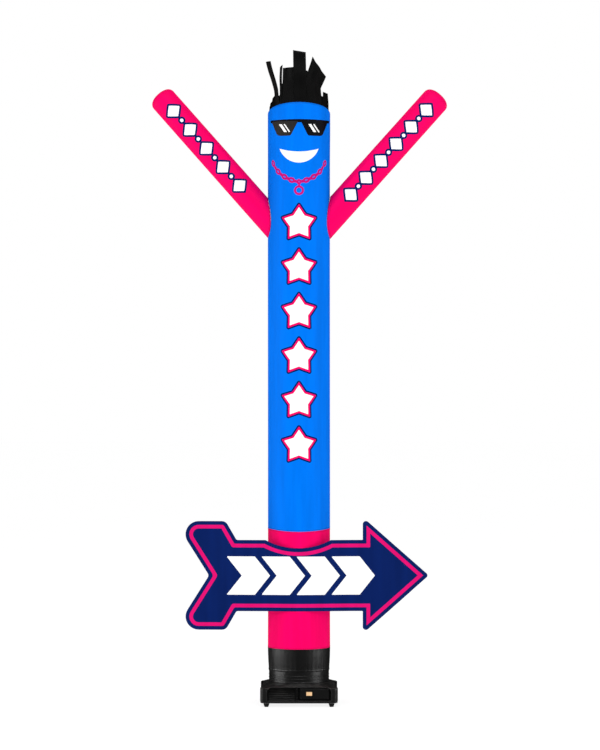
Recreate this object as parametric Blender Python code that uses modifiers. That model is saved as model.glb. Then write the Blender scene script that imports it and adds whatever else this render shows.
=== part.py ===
"""Inflatable air dancer standing on its blower.

The origin is on the floor under the middle of the blower, +Z is up and the face and the arrow
look towards -Y. Left and right are the viewer's. Metres throughout.
"""
import math
from collections import namedtuple

import bmesh
import bpy
from mathutils import Matrix, Vector

# ---- fits and cloth
SEAM = 0.0003  # gap between pieces that touch
MERGE = 0.00001  # points nearer than this are one point
CLOTH = 0.0015  # body and arm cloth

# ---- inflated body
AROUND = 48  # sides of the body, the cuff and the outlet
TUBE_RADIUS = 0.2375
LOWER_BOTTOM = 0.431  # seam between cuff and lower body
UPPER_BOTTOM = 1.332  # seam between lower and upper body
LOWER_ROWS = 4
UPPER_ROWS = 7
SHOULDER = 4.40  # above this the rows follow the rim
RIM_SIDE = 4.508  # the rim's height at the sides
RIM_RISE = 0.059  # how much higher it stands at the front and back
RIM_DIP_ROUND = 0.15  # how softly it dips at the sides
RIM_TURN = 0.022  # height over which the wall turns in to the rim
RIM_INSET = 0.007  # how far it turns in
RIM_ROWS_BELOW = (0.060, 0.022, 0.010, 0.0)
FOLDS = (  # soft upright folds, every one on a crest at the front and at the arrow's height
    {"lobes": 5, "depth": 0.0016, "drift": 0.9},
    {"lobes": 9, "depth": 0.0010, "drift": -1.6},
)
FOLD_FADE = 0.30  # the folds die out over this height at the cuff and at the shoulder

# ---- cuff, gathered on the outlet
CUFF_RADIUS = 0.2314
CUFF_GATHER = 0.0010  # depth of each pleat, one pleat for every two sides
CUFF_ROWS = (  # height, share of the way in from the tube to the outlet, share of the pleats' depth
    {"height": 0.257, "drawn_in": 1.00, "pleat": 0.4},
    {"height": 0.264, "drawn_in": 0.96, "pleat": 1.0},
    {"height": 0.285, "drawn_in": 1.00, "pleat": 1.0},
    {"height": 0.325, "drawn_in": 0.55, "pleat": 0.7},
    {"height": 0.375, "drawn_in": 0.20, "pleat": 0.3},
    {"height": 0.431, "drawn_in": 0.00, "pleat": 0.0},
)

# ---- arms
ARM_AROUND = 32
ARM_RADII = {"arm_left": 0.1015, "arm_right": 0.107}
ARM_HEIGHT = 3.70  # where an arm's axis meets the side of the body
ARM_STRAIGHT = 1.192  # from there to where the tip begins
ARM_TIP = 0.066  # length of the rounded tip
ARM_BURIED = 0.16  # length inside the body before the arm is trimmed to it
TRIM_REACH = 0.4  # how far up and down the body the arms are trimmed to it
ARM_TILTS = {"arm_left": 131.5, "arm_right": 48.2}  # degrees from +X
ARM_ROWS = 6
ARM_TIP_STEPS = 5
ARM_TIP_SQUARENESS = 2.3  # 2 is an ellipse
ARM_FOLD_LOBES = 6
ARM_FOLD_DEPTH = 0.0012

# ---- hair: strips on one band inside the rim
HAIR_SLOTS = 72
HAIR_BAND = 0.055  # height of the band
HAIR_BAND_SHOWS = 0.003  # above the rim
HAIR_THICKNESS = 0.0012
HAIR_RADIUS = TUBE_RADIUS - RIM_INSET - CLOTH - SEAM - 0.0005
HAIR_ROWS = (0.0, 0.16, 0.38, 0.60, 0.80, 1.0)
# start, slots: where a strip grows from the band, slot 54 being the front. rise: height of its tip.
# lean: how far the tip stands from above the root, in X and Y. slant: rise of the tip from its first
# slot to its last. turn: twist of the tip in degrees. kink: how far it is set over, and how far up.
Strip = namedtuple("Strip", "start slots rise lean width slant turn kink")
HAIR_STRIPS = (
    Strip(36, 8, 0.078, (0.018, 0.006), 0.125, 0.090, 0, (0.000, 0.6)),
    Strip(44, 2, 0.326, (-0.074, -0.020), 0.046, 0.004, 8, (0.012, 0.34)),
    Strip(46, 1, 0.284, (0.003, -0.006), 0.026, 0.022, 0, (0.000, 0.6)),
    Strip(47, 5, 0.265, (0.003, 0.014), 0.084, 0.006, 6, (0.002, 0.6)),
    Strip(52, 5, 0.379, (-0.007, -0.012), 0.096, -0.016, -3, (0.000, 0.6)),
    Strip(57, 7, 0.275, (0.028, -0.010), 0.127, -0.146, 4, (-0.026, 0.6)),
    Strip(64, 6, 0.116, (-0.006, 0.004), 0.088, -0.010, 0, (0.000, 0.6)),
    Strip(70, 5, 0.104, (-0.026, 0.004), 0.078, 0.018, 6, (0.000, 0.6)),
    Strip(3, 6, 0.098, (-0.018, 0.012), 0.094, 0.022, -5, (0.000, 0.6)),
    Strip(9, 5, 0.185, (0.000, 0.022), 0.084, 0.034, 4, (0.010, 0.6)),
    Strip(14, 8, 0.262, (-0.010, 0.016), 0.150, -0.020, -4, (0.006, 0.6)),
    Strip(22, 4, 0.190, (0.016, 0.026), 0.090, -0.030, 6, (-0.008, 0.6)),
    Strip(26, 5, 0.085, (0.012, 0.004), 0.084, -0.055, 0, (0.000, 0.6)),
    Strip(31, 5, 0.045, (0.010, 0.000), 0.078, -0.030, 0, (0.000, 0.6)),
)

# ---- arrow sign
SIGN_HEIGHT = 0.990  # of its middle line
SIGN_THICKNESS = 0.003
SIGN_SWEEP = 0.050  # how far its ends lie behind its middle
SIGN_BEND = 0.30  # distance from the middle at which it has swept half of that
SIGN_SLICE = 0.075  # width between the lines on which it bends
SIGN_WAVE = 0.006
SIGN_WAVE_LENGTH = 0.62
ARC_STEP = math.radians(18)
SIGN_DIP = {"from": -0.254, "to": 0.241, "depth": 0.062, "steps": 10}
SIGN_SHAFT = 0.2692  # half the shaft's height
SIGN_LOBE = 0.4114  # half the tail's height
SIGN_HEAD = 0.4414  # half the head's height, before its corner is rounded
SIGN_CORNERS = (  # along the top from the notch in the tail to the point, before the dip is let in
    {"x": -0.681, "z": 0.0, "radius": 0.030},
    {"x": -0.9395, "z": SIGN_LOBE, "radius": 0.100},
    {"x": -0.5546, "z": SIGN_LOBE, "radius": 0.050},
    {"x": -0.4727, "z": SIGN_SHAFT, "radius": 0.020},
    {"x": 0.4825, "z": SIGN_SHAFT, "radius": 0.004},
    {"x": 0.4825, "z": SIGN_HEAD, "radius": 0.024},
    {"x": 0.9830, "z": 0.0, "radius": 0.021},
)

# ---- blower
OUTLET_RADIUS = 0.2286  # an 18 inch outlet
OUTLET_WALL = 0.004
OUTLET_TOP = 0.345
OUTLET_SKIRT = 0.004  # its foot flares out this far, and begins to flare this high up
OUTLET_SKIRT_EDGE = 0.002
OUTLET_BEAD = 0.002
OUTLET_BEADS = (0.226, 0.204)  # heights of the two beads
OUTLET_BEAD_HEIGHT = 0.006
HOUSING_HALF = 0.292
HOUSING_WALL = 0.004
HOUSING_CORNER = 0.030
HOUSING_CORNER_SIDES = 3
HOUSING_SHOULDER = 0.142
DECK_HALF = 0.232  # from the axis to a side of the eight-sided deck
DECK_TOP = 0.174
OUTLET_HOLE = 0.2205
FOOT_HEIGHT = 0.030
PLATE_THICKNESS = 0.004
PLATE_HALF = 0.288
WINDOW_HALF = 0.245
WINDOW_BOTTOM = 0.046
WINDOW_TOP = 0.150
WINDOW_ROUND = 0.038
LOUVRE_OUT = 0.262  # from the axis to a louvre panel's outer face
LOUVRE_THICKNESS = 0.008
LOUVRE_TOP = 0.145
LOUVRE_ROUND = 0.030
LOUVRE_RIB = {"x": -0.015, "width": 0.012, "out": 0.284, "top": 0.143}
SLOT_ROWS = 7
SLOT_PITCH = 0.0136
SLOT_HEIGHT = 0.0052
SLOT_FIRST = 0.053
SLOT_TILT = math.radians(45)
SLOT_SPANS = {"left": (-0.232, -0.032), "right": (0.002, 0.232)}
FOOT_AT = 0.246
FOOT_TOP_RADIUS = 0.022
FOOT_TOE_RADIUS = 0.014
FOOT_AROUND = 20

# ---- control box, switch and cable gland
BOX_LOW = (0.008, -0.2832, 0.060)
BOX_HIGH = (0.226, -0.2623, 0.140)
BOX_ROUND = 0.003
SWITCH_X = 0.077
SWITCH_Z = 0.102
POCKET = (0.0456, 0.0045, 0.0288)  # width, depth and height of the rocker's pocket
BEZEL_FRAME = 0.0045
BEZEL_PROUD = 0.0035
ROCKER_HEIGHT = 0.0280
ROCKER_REST = math.radians(-8)  # from here it turns 16 degrees to the other side
ROCKER_OUTLINE = (  # seen from above, from its pivot, the front at the bottom
    (-0.0219, -0.0050),
    (0.0, -0.0028),
    (0.0219, -0.0050),
    (0.0223, 0.0010),
    (0.0060, 0.0034),
    (-0.0060, 0.0034),
    (-0.0223, 0.0010),
)
GLAND_AT = (-0.125, 0.075)  # x and z, on the back
GLAND_AROUND = 12
GLAND_PROFILE = (  # radius, distance out
    (0.0048, 0.0250),
    (0.0085, 0.0250),
    (0.0110, 0.0170),
    (0.0110, 0.0080),
    (0.0145, 0.0080),
    (0.0145, 0.0000),
    (0.0048, 0.0000),
)

COLOURS = {  # base colour, roughness, metallic
    "blue_nylon": ((0.0, 0.19, 0.90), 0.45, 0.0),
    "pink_nylon": ((0.95, 0.005, 0.13), 0.45, 0.0),
    "black_nylon": ((0.012, 0.012, 0.013), 0.5, 0.0),
    "hair_nylon": ((0.004, 0.004, 0.004), 0.4, 0.0),
    "navy_panel": ((0.004, 0.014, 0.11), 0.55, 0.0),
    "black_plastic": ((0.015, 0.015, 0.016), 0.4, 0.0),
    "dark_plastic": ((0.008, 0.008, 0.009), 0.5, 0.0),
    "plate_metal": ((0.10, 0.10, 0.11), 0.4, 0.8),
    "rubber": ((0.010, 0.010, 0.010), 0.7, 0.0),
    "amber": ((0.72, 0.46, 0.23), 0.3, 0.0),
}


# ---------------------------------------------------------------- scene helpers


def clear_scene():
    for thing in list(bpy.data.objects):
        bpy.data.objects.remove(thing, do_unlink=True)


def new_collection(name):
    collection = bpy.data.collections.new(name)
    bpy.context.scene.collection.children.link(collection)
    return collection


def material(name):
    found = bpy.data.materials.get(name)
    if found:
        return found
    colour, roughness, metallic = COLOURS[name]
    made = bpy.data.materials.new(name)
    made.use_nodes = True
    shader = made.node_tree.nodes["Principled BSDF"]
    shader.inputs["Base Color"].default_value = (*colour, 1.0)
    shader.inputs["Roughness"].default_value = roughness
    shader.inputs["Metallic"].default_value = metallic
    return made


def add_part(name, mesh, material_name):
    """One piece of the dancer, in its own object."""
    part = bpy.data.objects.new(name, mesh)
    parts.objects.link(part)
    mesh.materials.clear()
    mesh.materials.append(material(material_name))
    return part


def add_cutter(name, mesh):
    tool = bpy.data.objects.new(name, mesh)
    cutters.objects.link(tool)
    tool.hide_render = True
    tool.display_type = "WIRE"
    return tool


def cut(part, tool, operation="DIFFERENCE"):
    step = part.modifiers.new(f"{operation.lower()} {tool.name}", "BOOLEAN")
    step.operation = operation
    step.object = tool


def thicken(part, thickness, offset=-1.0):
    step = part.modifiers.new("thickness", "SOLIDIFY")
    step.thickness = thickness
    step.offset = offset
    step.use_even_offset = True


def smooth(mesh, angle=40):
    mesh.shade_smooth()
    mesh.set_sharp_from_angle(angle=math.radians(angle))


def to_mesh(shape, name):
    mesh = bpy.data.meshes.new(name)
    shape.to_mesh(mesh)
    shape.free()
    return mesh


# ---------------------------------------------------------------- shape helpers


def block_shape(low, high):
    low, high = Vector(low), Vector(high)
    shape = bmesh.new()
    place = Matrix.Translation((low + high) / 2) @ Matrix.Diagonal((*(high - low), 1.0))
    bmesh.ops.create_cube(shape, size=1.0, matrix=place)
    return shape


def edges_along(shape, axis):
    """The edges that run along one axis, 0, 1 or 2."""
    return [e for e in shape.edges if abs(e.verts[0].co[axis] - e.verts[1].co[axis]) > MERGE]


def round_edges(shape, edges, width, segments):
    bmesh.ops.bevel(shape, geom=edges, offset=width, segments=segments, profile=0.5, affect="EDGES")


def tube_mesh(name, sides, rows, radius, closed_ends=False):
    """A round wall. Each row gives its height at an angle, and radius the wall's at both."""
    shape = bmesh.new()
    bmesh.ops.create_grid(shape, x_segments=sides, y_segments=len(rows) - 1, size=0.5)
    for vert in shape.verts:
        angle = 2 * math.pi * round((vert.co.x + 0.5) * sides) / sides
        row = rows[round((vert.co.y + 0.5) * (len(rows) - 1))]
        height = row(angle)
        out = radius(angle, height)
        vert.co = (out * math.cos(angle), out * math.sin(angle), height)
    bmesh.ops.remove_doubles(shape, verts=shape.verts, dist=MERGE)
    if closed_ends:
        bmesh.ops.holes_fill(shape, edges=shape.edges, sides=0)
    mesh = to_mesh(shape, name)
    smooth(mesh)
    return mesh


def level(height):
    """A row that is level all round."""
    return lambda angle: height


def level_rows(bottom, top, count):
    return [level(bottom + (top - bottom) * i / count) for i in range(count + 1)]


def turned_part(name, profile, sides, material_name, closed):
    """A profile of (radius, height) points, running down its outer side, turned about Z."""
    mesh = bpy.data.meshes.new(name)
    ends = [(i, i + 1) for i in range(len(profile) - 1)]
    if closed:
        ends.append((len(profile) - 1, 0))
    mesh.from_pydata([(r, 0.0, z) for r, z in profile], ends, [])
    part = add_part(name, mesh, material_name)
    turn = part.modifiers.new("turned", "SCREW")
    turn.axis = "Z"
    turn.angle = 2 * math.pi
    turn.steps = sides
    turn.render_steps = sides
    turn.use_merge_vertices = True
    turn.merge_threshold = 0.0001
    turn.use_smooth_shade = False
    return part


def outline_mesh(name, points, thickness):
    """A flat outline in the XY plane, filled and given its thickness, as a closed mesh."""
    curve = bpy.data.curves.new(name, "CURVE")
    curve.dimensions = "2D"
    curve.fill_mode = "BOTH"
    curve.extrude = thickness / 2
    spline = curve.splines.new("POLY")
    spline.points.add(len(points) - 1)
    for point, (x, y) in zip(spline.points, points):
        point.co = (x, y, 0.0, 1.0)
    spline.use_cyclic_u = True
    holder = bpy.data.objects.new(name, curve)
    cutters.objects.link(holder)
    bpy.context.view_layer.update()
    seen = holder.evaluated_get(bpy.context.evaluated_depsgraph_get())
    shape = bmesh.new()
    shape.from_mesh(bpy.data.meshes.new_from_object(seen))
    bpy.data.objects.remove(holder, do_unlink=True)
    bmesh.ops.remove_doubles(shape, verts=shape.verts, dist=MERGE)
    bmesh.ops.recalc_face_normals(shape, faces=shape.faces)
    return to_mesh(shape, name)


def rounded(corners):
    """The outline through the corners, each rounded with its own radius."""
    points = []
    for i, corner in enumerate(corners):
        before, after = corners[i - 1], corners[(i + 1) % len(corners)]
        here = Vector((corner["x"], corner["z"]))
        if corner["radius"] == 0:
            points.append(here)
            continue
        back = (Vector((before["x"], before["z"])) - here).normalized()
        ahead = (Vector((after["x"], after["z"])) - here).normalized()
        half = back.angle(ahead) / 2
        centre = here + (back + ahead).normalized() * corner["radius"] / math.sin(half)
        start = here + back * corner["radius"] / math.tan(half) - centre
        end = here + ahead * corner["radius"] / math.tan(half) - centre
        turn = math.atan2(start.x * end.y - start.y * end.x, start.dot(end))
        first = math.atan2(start.y, start.x)
        steps = max(2, round(abs(turn) / ARC_STEP))
        for step in range(steps + 1):
            angle = first + turn * step / steps
            points.append(centre + Vector((math.cos(angle), math.sin(angle))) * corner["radius"])
    return points


# ---------------------------------------------------------------- body


def fade(height, bottom, top):
    """1 in the middle of a height range, falling to 0 at both of its ends."""
    share = min(height - bottom, top - height) / FOLD_FADE
    share = min(max(share, 0.0), 1.0)
    return share * share * (3 - 2 * share)


def fold_depth(angle, height):
    """How far the soft upright folds draw the wall in."""
    round_from_front = angle + math.pi / 2
    depth = 0.0
    for fold in FOLDS:
        wave = math.cos(fold["lobes"] * round_from_front + fold["drift"] * (height - SIGN_HEIGHT))
        depth += fold["depth"] * (1 - wave) / 2
    return depth * fade(height, LOWER_BOTTOM, SHOULDER)


def rim_height(angle):
    """The rim dips at both sides and rises to the front and the back."""
    rise = math.hypot(math.sin(angle), RIM_DIP_ROUND) - RIM_DIP_ROUND
    return RIM_SIDE + RIM_RISE * rise / (math.hypot(1, RIM_DIP_ROUND) - RIM_DIP_ROUND)


def rim_inset(below):
    """How far the wall has turned in at a depth below the rim."""
    if below >= RIM_TURN:
        return 0.0
    bend = (RIM_TURN**2 + RIM_INSET**2) / (2 * RIM_INSET)
    return bend - math.sqrt(bend**2 - (RIM_TURN - below) ** 2)


def body_radius(angle, height):
    return TUBE_RADIUS - fold_depth(angle, height) - rim_inset(rim_height(angle) - height)


def under_rim(below):
    return lambda angle: rim_height(angle) - below


def arm_frame(name):
    """From an arm's own axes, +Z along it from where it meets the body, to the dancer's."""
    tilt = math.radians(ARM_TILTS[name])
    side = math.copysign(TUBE_RADIUS, math.cos(tilt))
    return Matrix.Translation((side, 0, ARM_HEIGHT)) @ Matrix.Rotation(math.pi / 2 - tilt, 4, "Y")


def make_body():
    rows = level_rows(LOWER_BOTTOM + SEAM, UPPER_BOTTOM, LOWER_ROWS)
    lower = add_part("body_lower", tube_mesh("body_lower", AROUND, rows, body_radius), "pink_nylon")
    thicken(lower, CLOTH)

    rows = level_rows(UPPER_BOTTOM + SEAM, SHOULDER, UPPER_ROWS)
    rows += [under_rim(below) for below in RIM_ROWS_BELOW]
    upper = add_part("body_upper", tube_mesh("body_upper", AROUND, rows, body_radius), "blue_nylon")
    thicken(upper, CLOTH)
    for name in ARM_TILTS:
        hole_radius = ARM_RADII[name] - CLOTH - ARM_FOLD_DEPTH
        hole = bmesh.new()
        bmesh.ops.create_cone(
            hole,
            cap_ends=True,
            segments=ARM_AROUND,
            radius1=hole_radius,
            radius2=hole_radius,
            depth=2 * ARM_BURIED,
        )
        tool = add_cutter(f"armhole_{name}", to_mesh(hole, f"armhole_{name}"))
        tool.matrix_world = arm_frame(name)
        cut(upper, tool)


def arm_radius(radius):
    """The wall of an arm of that radius, by its angle and the distance along it."""

    def wall(angle, along):
        folds = ARM_FOLD_DEPTH * (1 - math.cos(ARM_FOLD_LOBES * angle + 2.0 * along)) / 2
        past = max(along - ARM_STRAIGHT, 0.0) / ARM_TIP
        round_off = max(1 - past**ARM_TIP_SQUARENESS, 0.0) ** (1 / ARM_TIP_SQUARENESS)
        return (radius - folds) * round_off

    return wall


def make_arms():
    """Hollow arms, trimmed where they meet the body."""
    around_arms = level_rows(ARM_HEIGHT - TRIM_REACH, ARM_HEIGHT + TRIM_REACH, 4)
    trim = tube_mesh("body_trim", AROUND, around_arms, lambda a, h: TUBE_RADIUS + SEAM, closed_ends=True)
    trim = add_cutter("body_trim", trim)
    rows = level_rows(-ARM_BURIED, ARM_STRAIGHT, ARM_ROWS)
    for i in range(1, ARM_TIP_STEPS + 1):
        past = math.sin(math.pi / 2 * i / ARM_TIP_STEPS)
        rows.append(level(ARM_STRAIGHT + ARM_TIP * past))
    for name in ARM_TILTS:
        wall = arm_radius(ARM_RADII[name])
        arm = add_part(name, tube_mesh(name, ARM_AROUND, rows, wall), "pink_nylon")
        arm.matrix_world = arm_frame(name)
        thicken(arm, CLOTH)
        cut(arm, trim)


def cuff_radius(angle, height):
    rows = CUFF_ROWS
    above = next(i for i in range(1, len(rows)) if height <= rows[i]["height"] + MERGE)
    low, high = rows[above - 1], rows[above]
    share = (height - low["height"]) / (high["height"] - low["height"])
    drawn_in = low["drawn_in"] + (high["drawn_in"] - low["drawn_in"]) * share
    pleat = low["pleat"] + (high["pleat"] - low["pleat"]) * share
    crest = 1 if round(angle / (2 * math.pi) * AROUND) % 2 else -1
    return TUBE_RADIUS + (CUFF_RADIUS - TUBE_RADIUS) * drawn_in + CUFF_GATHER * pleat * crest


def make_cuff():
    rows = [level(row["height"]) for row in CUFF_ROWS]
    cuff = add_part("cuff", tube_mesh("cuff", AROUND, rows, cuff_radius), "black_nylon")
    thicken(cuff, CLOTH)


# ---------------------------------------------------------------- hair


def band_point(slot, share):
    """A point of the band, share 0 at its foot and 1 at its top."""
    angle = 2 * math.pi * slot / HAIR_SLOTS
    height = rim_height(angle) + HAIR_BAND_SHOWS - HAIR_BAND * (1 - share)
    return Vector((HAIR_RADIUS * math.cos(angle), HAIR_RADIUS * math.sin(angle), height))


def strip_point(strip, across, along):
    """A point of a strip, across and along running from 0 to 1, root to tip."""
    root = band_point(strip.start + across * strip.slots, 1.0)
    middle_slot = strip.start + strip.slots / 2
    facing = 2 * math.pi * middle_slot / HAIR_SLOTS + math.pi / 2 + math.radians(strip.turn)
    side = (across - 0.5) * strip.width
    tip = band_point(middle_slot, 1.0) + Vector((*strip.lean, strip.rise))
    tip += Vector((math.cos(facing) * side, math.sin(facing) * side, (across - 0.5) * strip.slant))
    point = root.lerp(tip, along)
    set_over, share_up = strip.kink
    point.x += set_over * min(along / share_up, (1 - along) / (1 - share_up))
    return point


def make_hair():
    """One sheet, the band with its strips, thickened as a whole."""
    shape = bmesh.new()
    foot = [shape.verts.new(band_point(slot, 0.0)) for slot in range(HAIR_SLOTS)]
    top = [shape.verts.new(band_point(slot, 1.0)) for slot in range(HAIR_SLOTS)]
    for slot in range(HAIR_SLOTS):
        ahead = (slot + 1) % HAIR_SLOTS
        shape.faces.new((foot[slot], foot[ahead], top[ahead], top[slot]))
    for strip in HAIR_STRIPS:
        count = strip.slots
        below = [top[(strip.start + i) % HAIR_SLOTS] for i in range(count + 1)]
        for along in HAIR_ROWS[1:]:
            row = [shape.verts.new(strip_point(strip, i / count, along)) for i in range(count + 1)]
            for i in range(count):
                shape.faces.new((below[i], below[i + 1], row[i + 1], row[i]))
            below = row
    hair = add_part("hair_fringe", to_mesh(shape, "hair_fringe"), "hair_nylon")
    thicken(hair, HAIR_THICKNESS)


# ---------------------------------------------------------------- arrow sign


def dip_points():
    """The shallow arc let into the sign's top edge in front of the body."""
    half = (SIGN_DIP["to"] - SIGN_DIP["from"]) / 2
    middle = (SIGN_DIP["to"] + SIGN_DIP["from"]) / 2
    radius = (half**2 + SIGN_DIP["depth"] ** 2) / (2 * SIGN_DIP["depth"])
    points = []
    for step in range(SIGN_DIP["steps"] + 1):
        x = -half + 2 * half * step / SIGN_DIP["steps"]
        fall = math.sqrt(radius**2 - x**2) - (radius - SIGN_DIP["depth"])
        points.append({"x": middle + x, "z": SIGN_SHAFT - fall, "radius": 0})
    return points


def sign_outline():
    corners = list(SIGN_CORNERS)
    shaft_end = next(i for i, c in enumerate(corners) if c["x"] > 0)
    corners[shaft_end:shaft_end] = dip_points()
    underneath = [{**c, "z": -c["z"]} for c in reversed(SIGN_CORNERS[1:-1])]
    return rounded(corners + underneath)


def sign_depth(x):
    """How far the sign's back face lies behind the front of the body."""
    bow = SIGN_SWEEP * (x / SIGN_BEND) ** 2 / (1 + (x / SIGN_BEND) ** 2)
    off_body = max(abs(x) - TUBE_RADIUS, 0.0)
    wave = SIGN_WAVE * math.sin(2 * math.pi * off_body / SIGN_WAVE_LENGTH) * math.copysign(1.0, x)
    return bow + wave


def make_sign():
    """A flat panel sewn to the front of the body along its middle, its wings swept back a little."""
    shape = bmesh.new()
    shape.from_mesh(outline_mesh("arrow_sign", sign_outline(), SIGN_THICKNESS))
    left = min(vert.co.x for vert in shape.verts)
    right = max(vert.co.x for vert in shape.verts)
    for cut_number in range(math.ceil(left / SIGN_SLICE), math.ceil(right / SIGN_SLICE)):
        everything = shape.verts[:] + shape.edges[:] + shape.faces[:]
        where = (cut_number * SIGN_SLICE, 0, 0)
        bmesh.ops.bisect_plane(shape, geom=everything, plane_co=where, plane_no=(1, 0, 0), dist=MERGE)
    front = -(TUBE_RADIUS + SEAM + SIGN_THICKNESS / 2)
    for vert in shape.verts:
        x, z, out = vert.co
        vert.co = (x, front - out + sign_depth(x), SIGN_HEIGHT + z)
    add_part("arrow_sign", to_mesh(shape, "arrow_sign"), "navy_panel")


# ---------------------------------------------------------------- blower


def make_outlet():
    """The round outlet that the cuff is gathered on, with a flared foot and two beads."""
    foot = DECK_TOP + SEAM
    profile = [(OUTLET_RADIUS - OUTLET_WALL, OUTLET_TOP), (OUTLET_RADIUS, OUTLET_TOP)]
    for height in OUTLET_BEADS:
        profile += [
            (OUTLET_RADIUS, height + OUTLET_BEAD_HEIGHT / 2),
            (OUTLET_RADIUS + OUTLET_BEAD, height),
            (OUTLET_RADIUS, height - OUTLET_BEAD_HEIGHT / 2),
        ]
    profile += [
        (OUTLET_RADIUS, foot + OUTLET_SKIRT),
        (OUTLET_RADIUS + OUTLET_SKIRT, foot + OUTLET_SKIRT_EDGE),
        (OUTLET_RADIUS + OUTLET_SKIRT, foot),
        (OUTLET_RADIUS - OUTLET_WALL, foot),
    ]
    turned_part("outlet_collar", profile, AROUND, "black_plastic", closed=True)


def housing_corner(quarter):
    """The arc of a corner of the housing's plan."""
    inner = HOUSING_HALF - HOUSING_CORNER
    turn = Matrix.Rotation(quarter * math.pi / 2, 2)
    points = []
    for i in range(HOUSING_CORNER_SIDES + 1):
        angle = math.pi / 2 * i / HOUSING_CORNER_SIDES
        bend = Vector((math.cos(angle), math.sin(angle))) * HOUSING_CORNER
        points.append(turn @ (Vector((inner, inner)) + bend))
    return points


def deck_side(quarter):
    """The two ends of the deck's side that faces a corner."""
    turn = Matrix.Rotation(quarter * math.pi / 2, 2)
    short = DECK_HALF * math.tan(math.pi / 8)
    return [turn @ Vector((DECK_HALF, short)), turn @ Vector((short, DECK_HALF))]


def make_housing():
    """A moulded shell that slopes up from its square sides to an eight-sided deck, with an arched
    window in each side and the outlet's hole."""
    half = HOUSING_HALF
    shape = bmesh.new()
    corners = [housing_corner(quarter) for quarter in range(4)]
    floor, shoulder = (
        [[shape.verts.new((*point, height)) for point in corner] for corner in corners]
        for height in (FOOT_HEIGHT + PLATE_THICKNESS + SEAM, HOUSING_SHOULDER)
    )
    deck = [
        [shape.verts.new((*point, DECK_TOP)) for point in deck_side(quarter)]
        for quarter in range(4)
    ]
    for quarter in range(4):
        after = (quarter + 1) % 4
        foot, rim = floor[quarter], shoulder[quarter]
        for i in range(HOUSING_CORNER_SIDES):
            shape.faces.new((foot[i], foot[i + 1], rim[i + 1], rim[i]))
        shape.faces.new((foot[-1], floor[after][0], shoulder[after][0], rim[-1]))
        shape.faces.new((rim[-1], shoulder[after][0], deck[after][0], deck[quarter][1]))
        shape.faces.new((rim[0], rim[1], deck[quarter][0]))
        shape.faces.new((rim[1], rim[2], deck[quarter][1], deck[quarter][0]))
        shape.faces.new((rim[2], rim[3], deck[quarter][1]))
    shape.faces.new([vert for side in deck for vert in side])
    housing = add_part("blower_housing", to_mesh(shape, "blower_housing"), "black_plastic")
    thicken(housing, HOUSING_WALL)

    reach = half + 0.05
    for name, axis in (("windows_front_back", 1), ("windows_sides", 0)):
        size = Vector((WINDOW_HALF, WINDOW_HALF, 0))
        size[axis] = reach
        low = (-size.x, -size.y, WINDOW_BOTTOM)
        high = (size.x, size.y, WINDOW_TOP)
        window = block_shape(low, high)
        upper = [e for e in edges_along(window, axis) if e.verts[0].co.z > HOUSING_SHOULDER]
        round_edges(window, upper, WINDOW_ROUND, 4)
        cut(housing, add_cutter(name, to_mesh(window, name)))
    hole = bmesh.new()
    middle = Matrix.Translation((0, 0, DECK_TOP))
    bmesh.ops.create_cone(
        hole,
        cap_ends=True,
        segments=AROUND,
        radius1=OUTLET_HOLE,
        radius2=OUTLET_HOLE,
        depth=0.03,
        matrix=middle,
    )
    cut(housing, add_cutter("outlet_hole", to_mesh(hole, "outlet_hole")))


def make_plate():
    half = PLATE_HALF
    plate = block_shape((-half, -half, FOOT_HEIGHT), (half, half, FOOT_HEIGHT + PLATE_THICKNESS))
    round_edges(plate, edges_along(plate, 2), HOUSING_CORNER, 3)
    add_part("base_plate", to_mesh(plate, "base_plate"), "plate_metal")


def slots_mesh(name, spans):
    """Sloping slots in rows, as wide as each span."""
    shape = bmesh.new()
    depth = 4 * LOUVRE_THICKNESS
    middle_y = -(LOUVRE_OUT - LOUVRE_THICKNESS / 2)
    for row in range(SLOT_ROWS):
        height = SLOT_FIRST + row * SLOT_PITCH
        for start, end in spans:
            place = (
                Matrix.Translation(((start + end) / 2, middle_y, height))
                @ Matrix.Rotation(SLOT_TILT, 4, "X")
                @ Matrix.Diagonal((end - start, depth, SLOT_HEIGHT, 1.0))
            )
            bmesh.ops.create_cube(shape, size=1.0, matrix=place)
    return to_mesh(shape, name)


def make_louvres():
    """An upright slotted panel behind each window; the front and back ones carry a blank half."""
    floor = FOOT_HEIGHT + PLATE_THICKNESS + SEAM
    inner = LOUVRE_OUT - LOUVRE_THICKNESS
    half = inner - 2 * SEAM
    sides = (
        ("front", 0, ("left",)),
        ("right", 1, ("left", "right")),
        ("back", 2, ("left",)),
        ("left", 3, ("left", "right")),
    )
    for side, quarter, open_halves in sides:
        name = f"intake_louvre_{side}"
        panel = block_shape((-half, -LOUVRE_OUT, floor), (half, -inner, LOUVRE_TOP))
        upper = [e for e in edges_along(panel, 1) if e.verts[0].co.z > HOUSING_SHOULDER]
        round_edges(panel, upper, LOUVRE_ROUND, 4)
        panel = add_part(name, to_mesh(panel, name), "dark_plastic")
        rib_low = (LOUVRE_RIB["x"] - LOUVRE_RIB["width"] / 2, -LOUVRE_RIB["out"], floor)
        rib_high = (LOUVRE_RIB["x"] + LOUVRE_RIB["width"] / 2, -(inner + MERGE), LOUVRE_RIB["top"])
        rib = add_cutter(f"rib_{side}", to_mesh(block_shape(rib_low, rib_high), f"rib_{side}"))
        slots = slots_mesh(f"slots_{side}", [SLOT_SPANS[which] for which in open_halves])
        slots = add_cutter(f"slots_{side}", slots)
        for thing in (panel, rib, slots):
            thing.rotation_euler.z = quarter * math.pi / 2
        cut(panel, rib, "UNION")
        cut(panel, slots)


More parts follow.
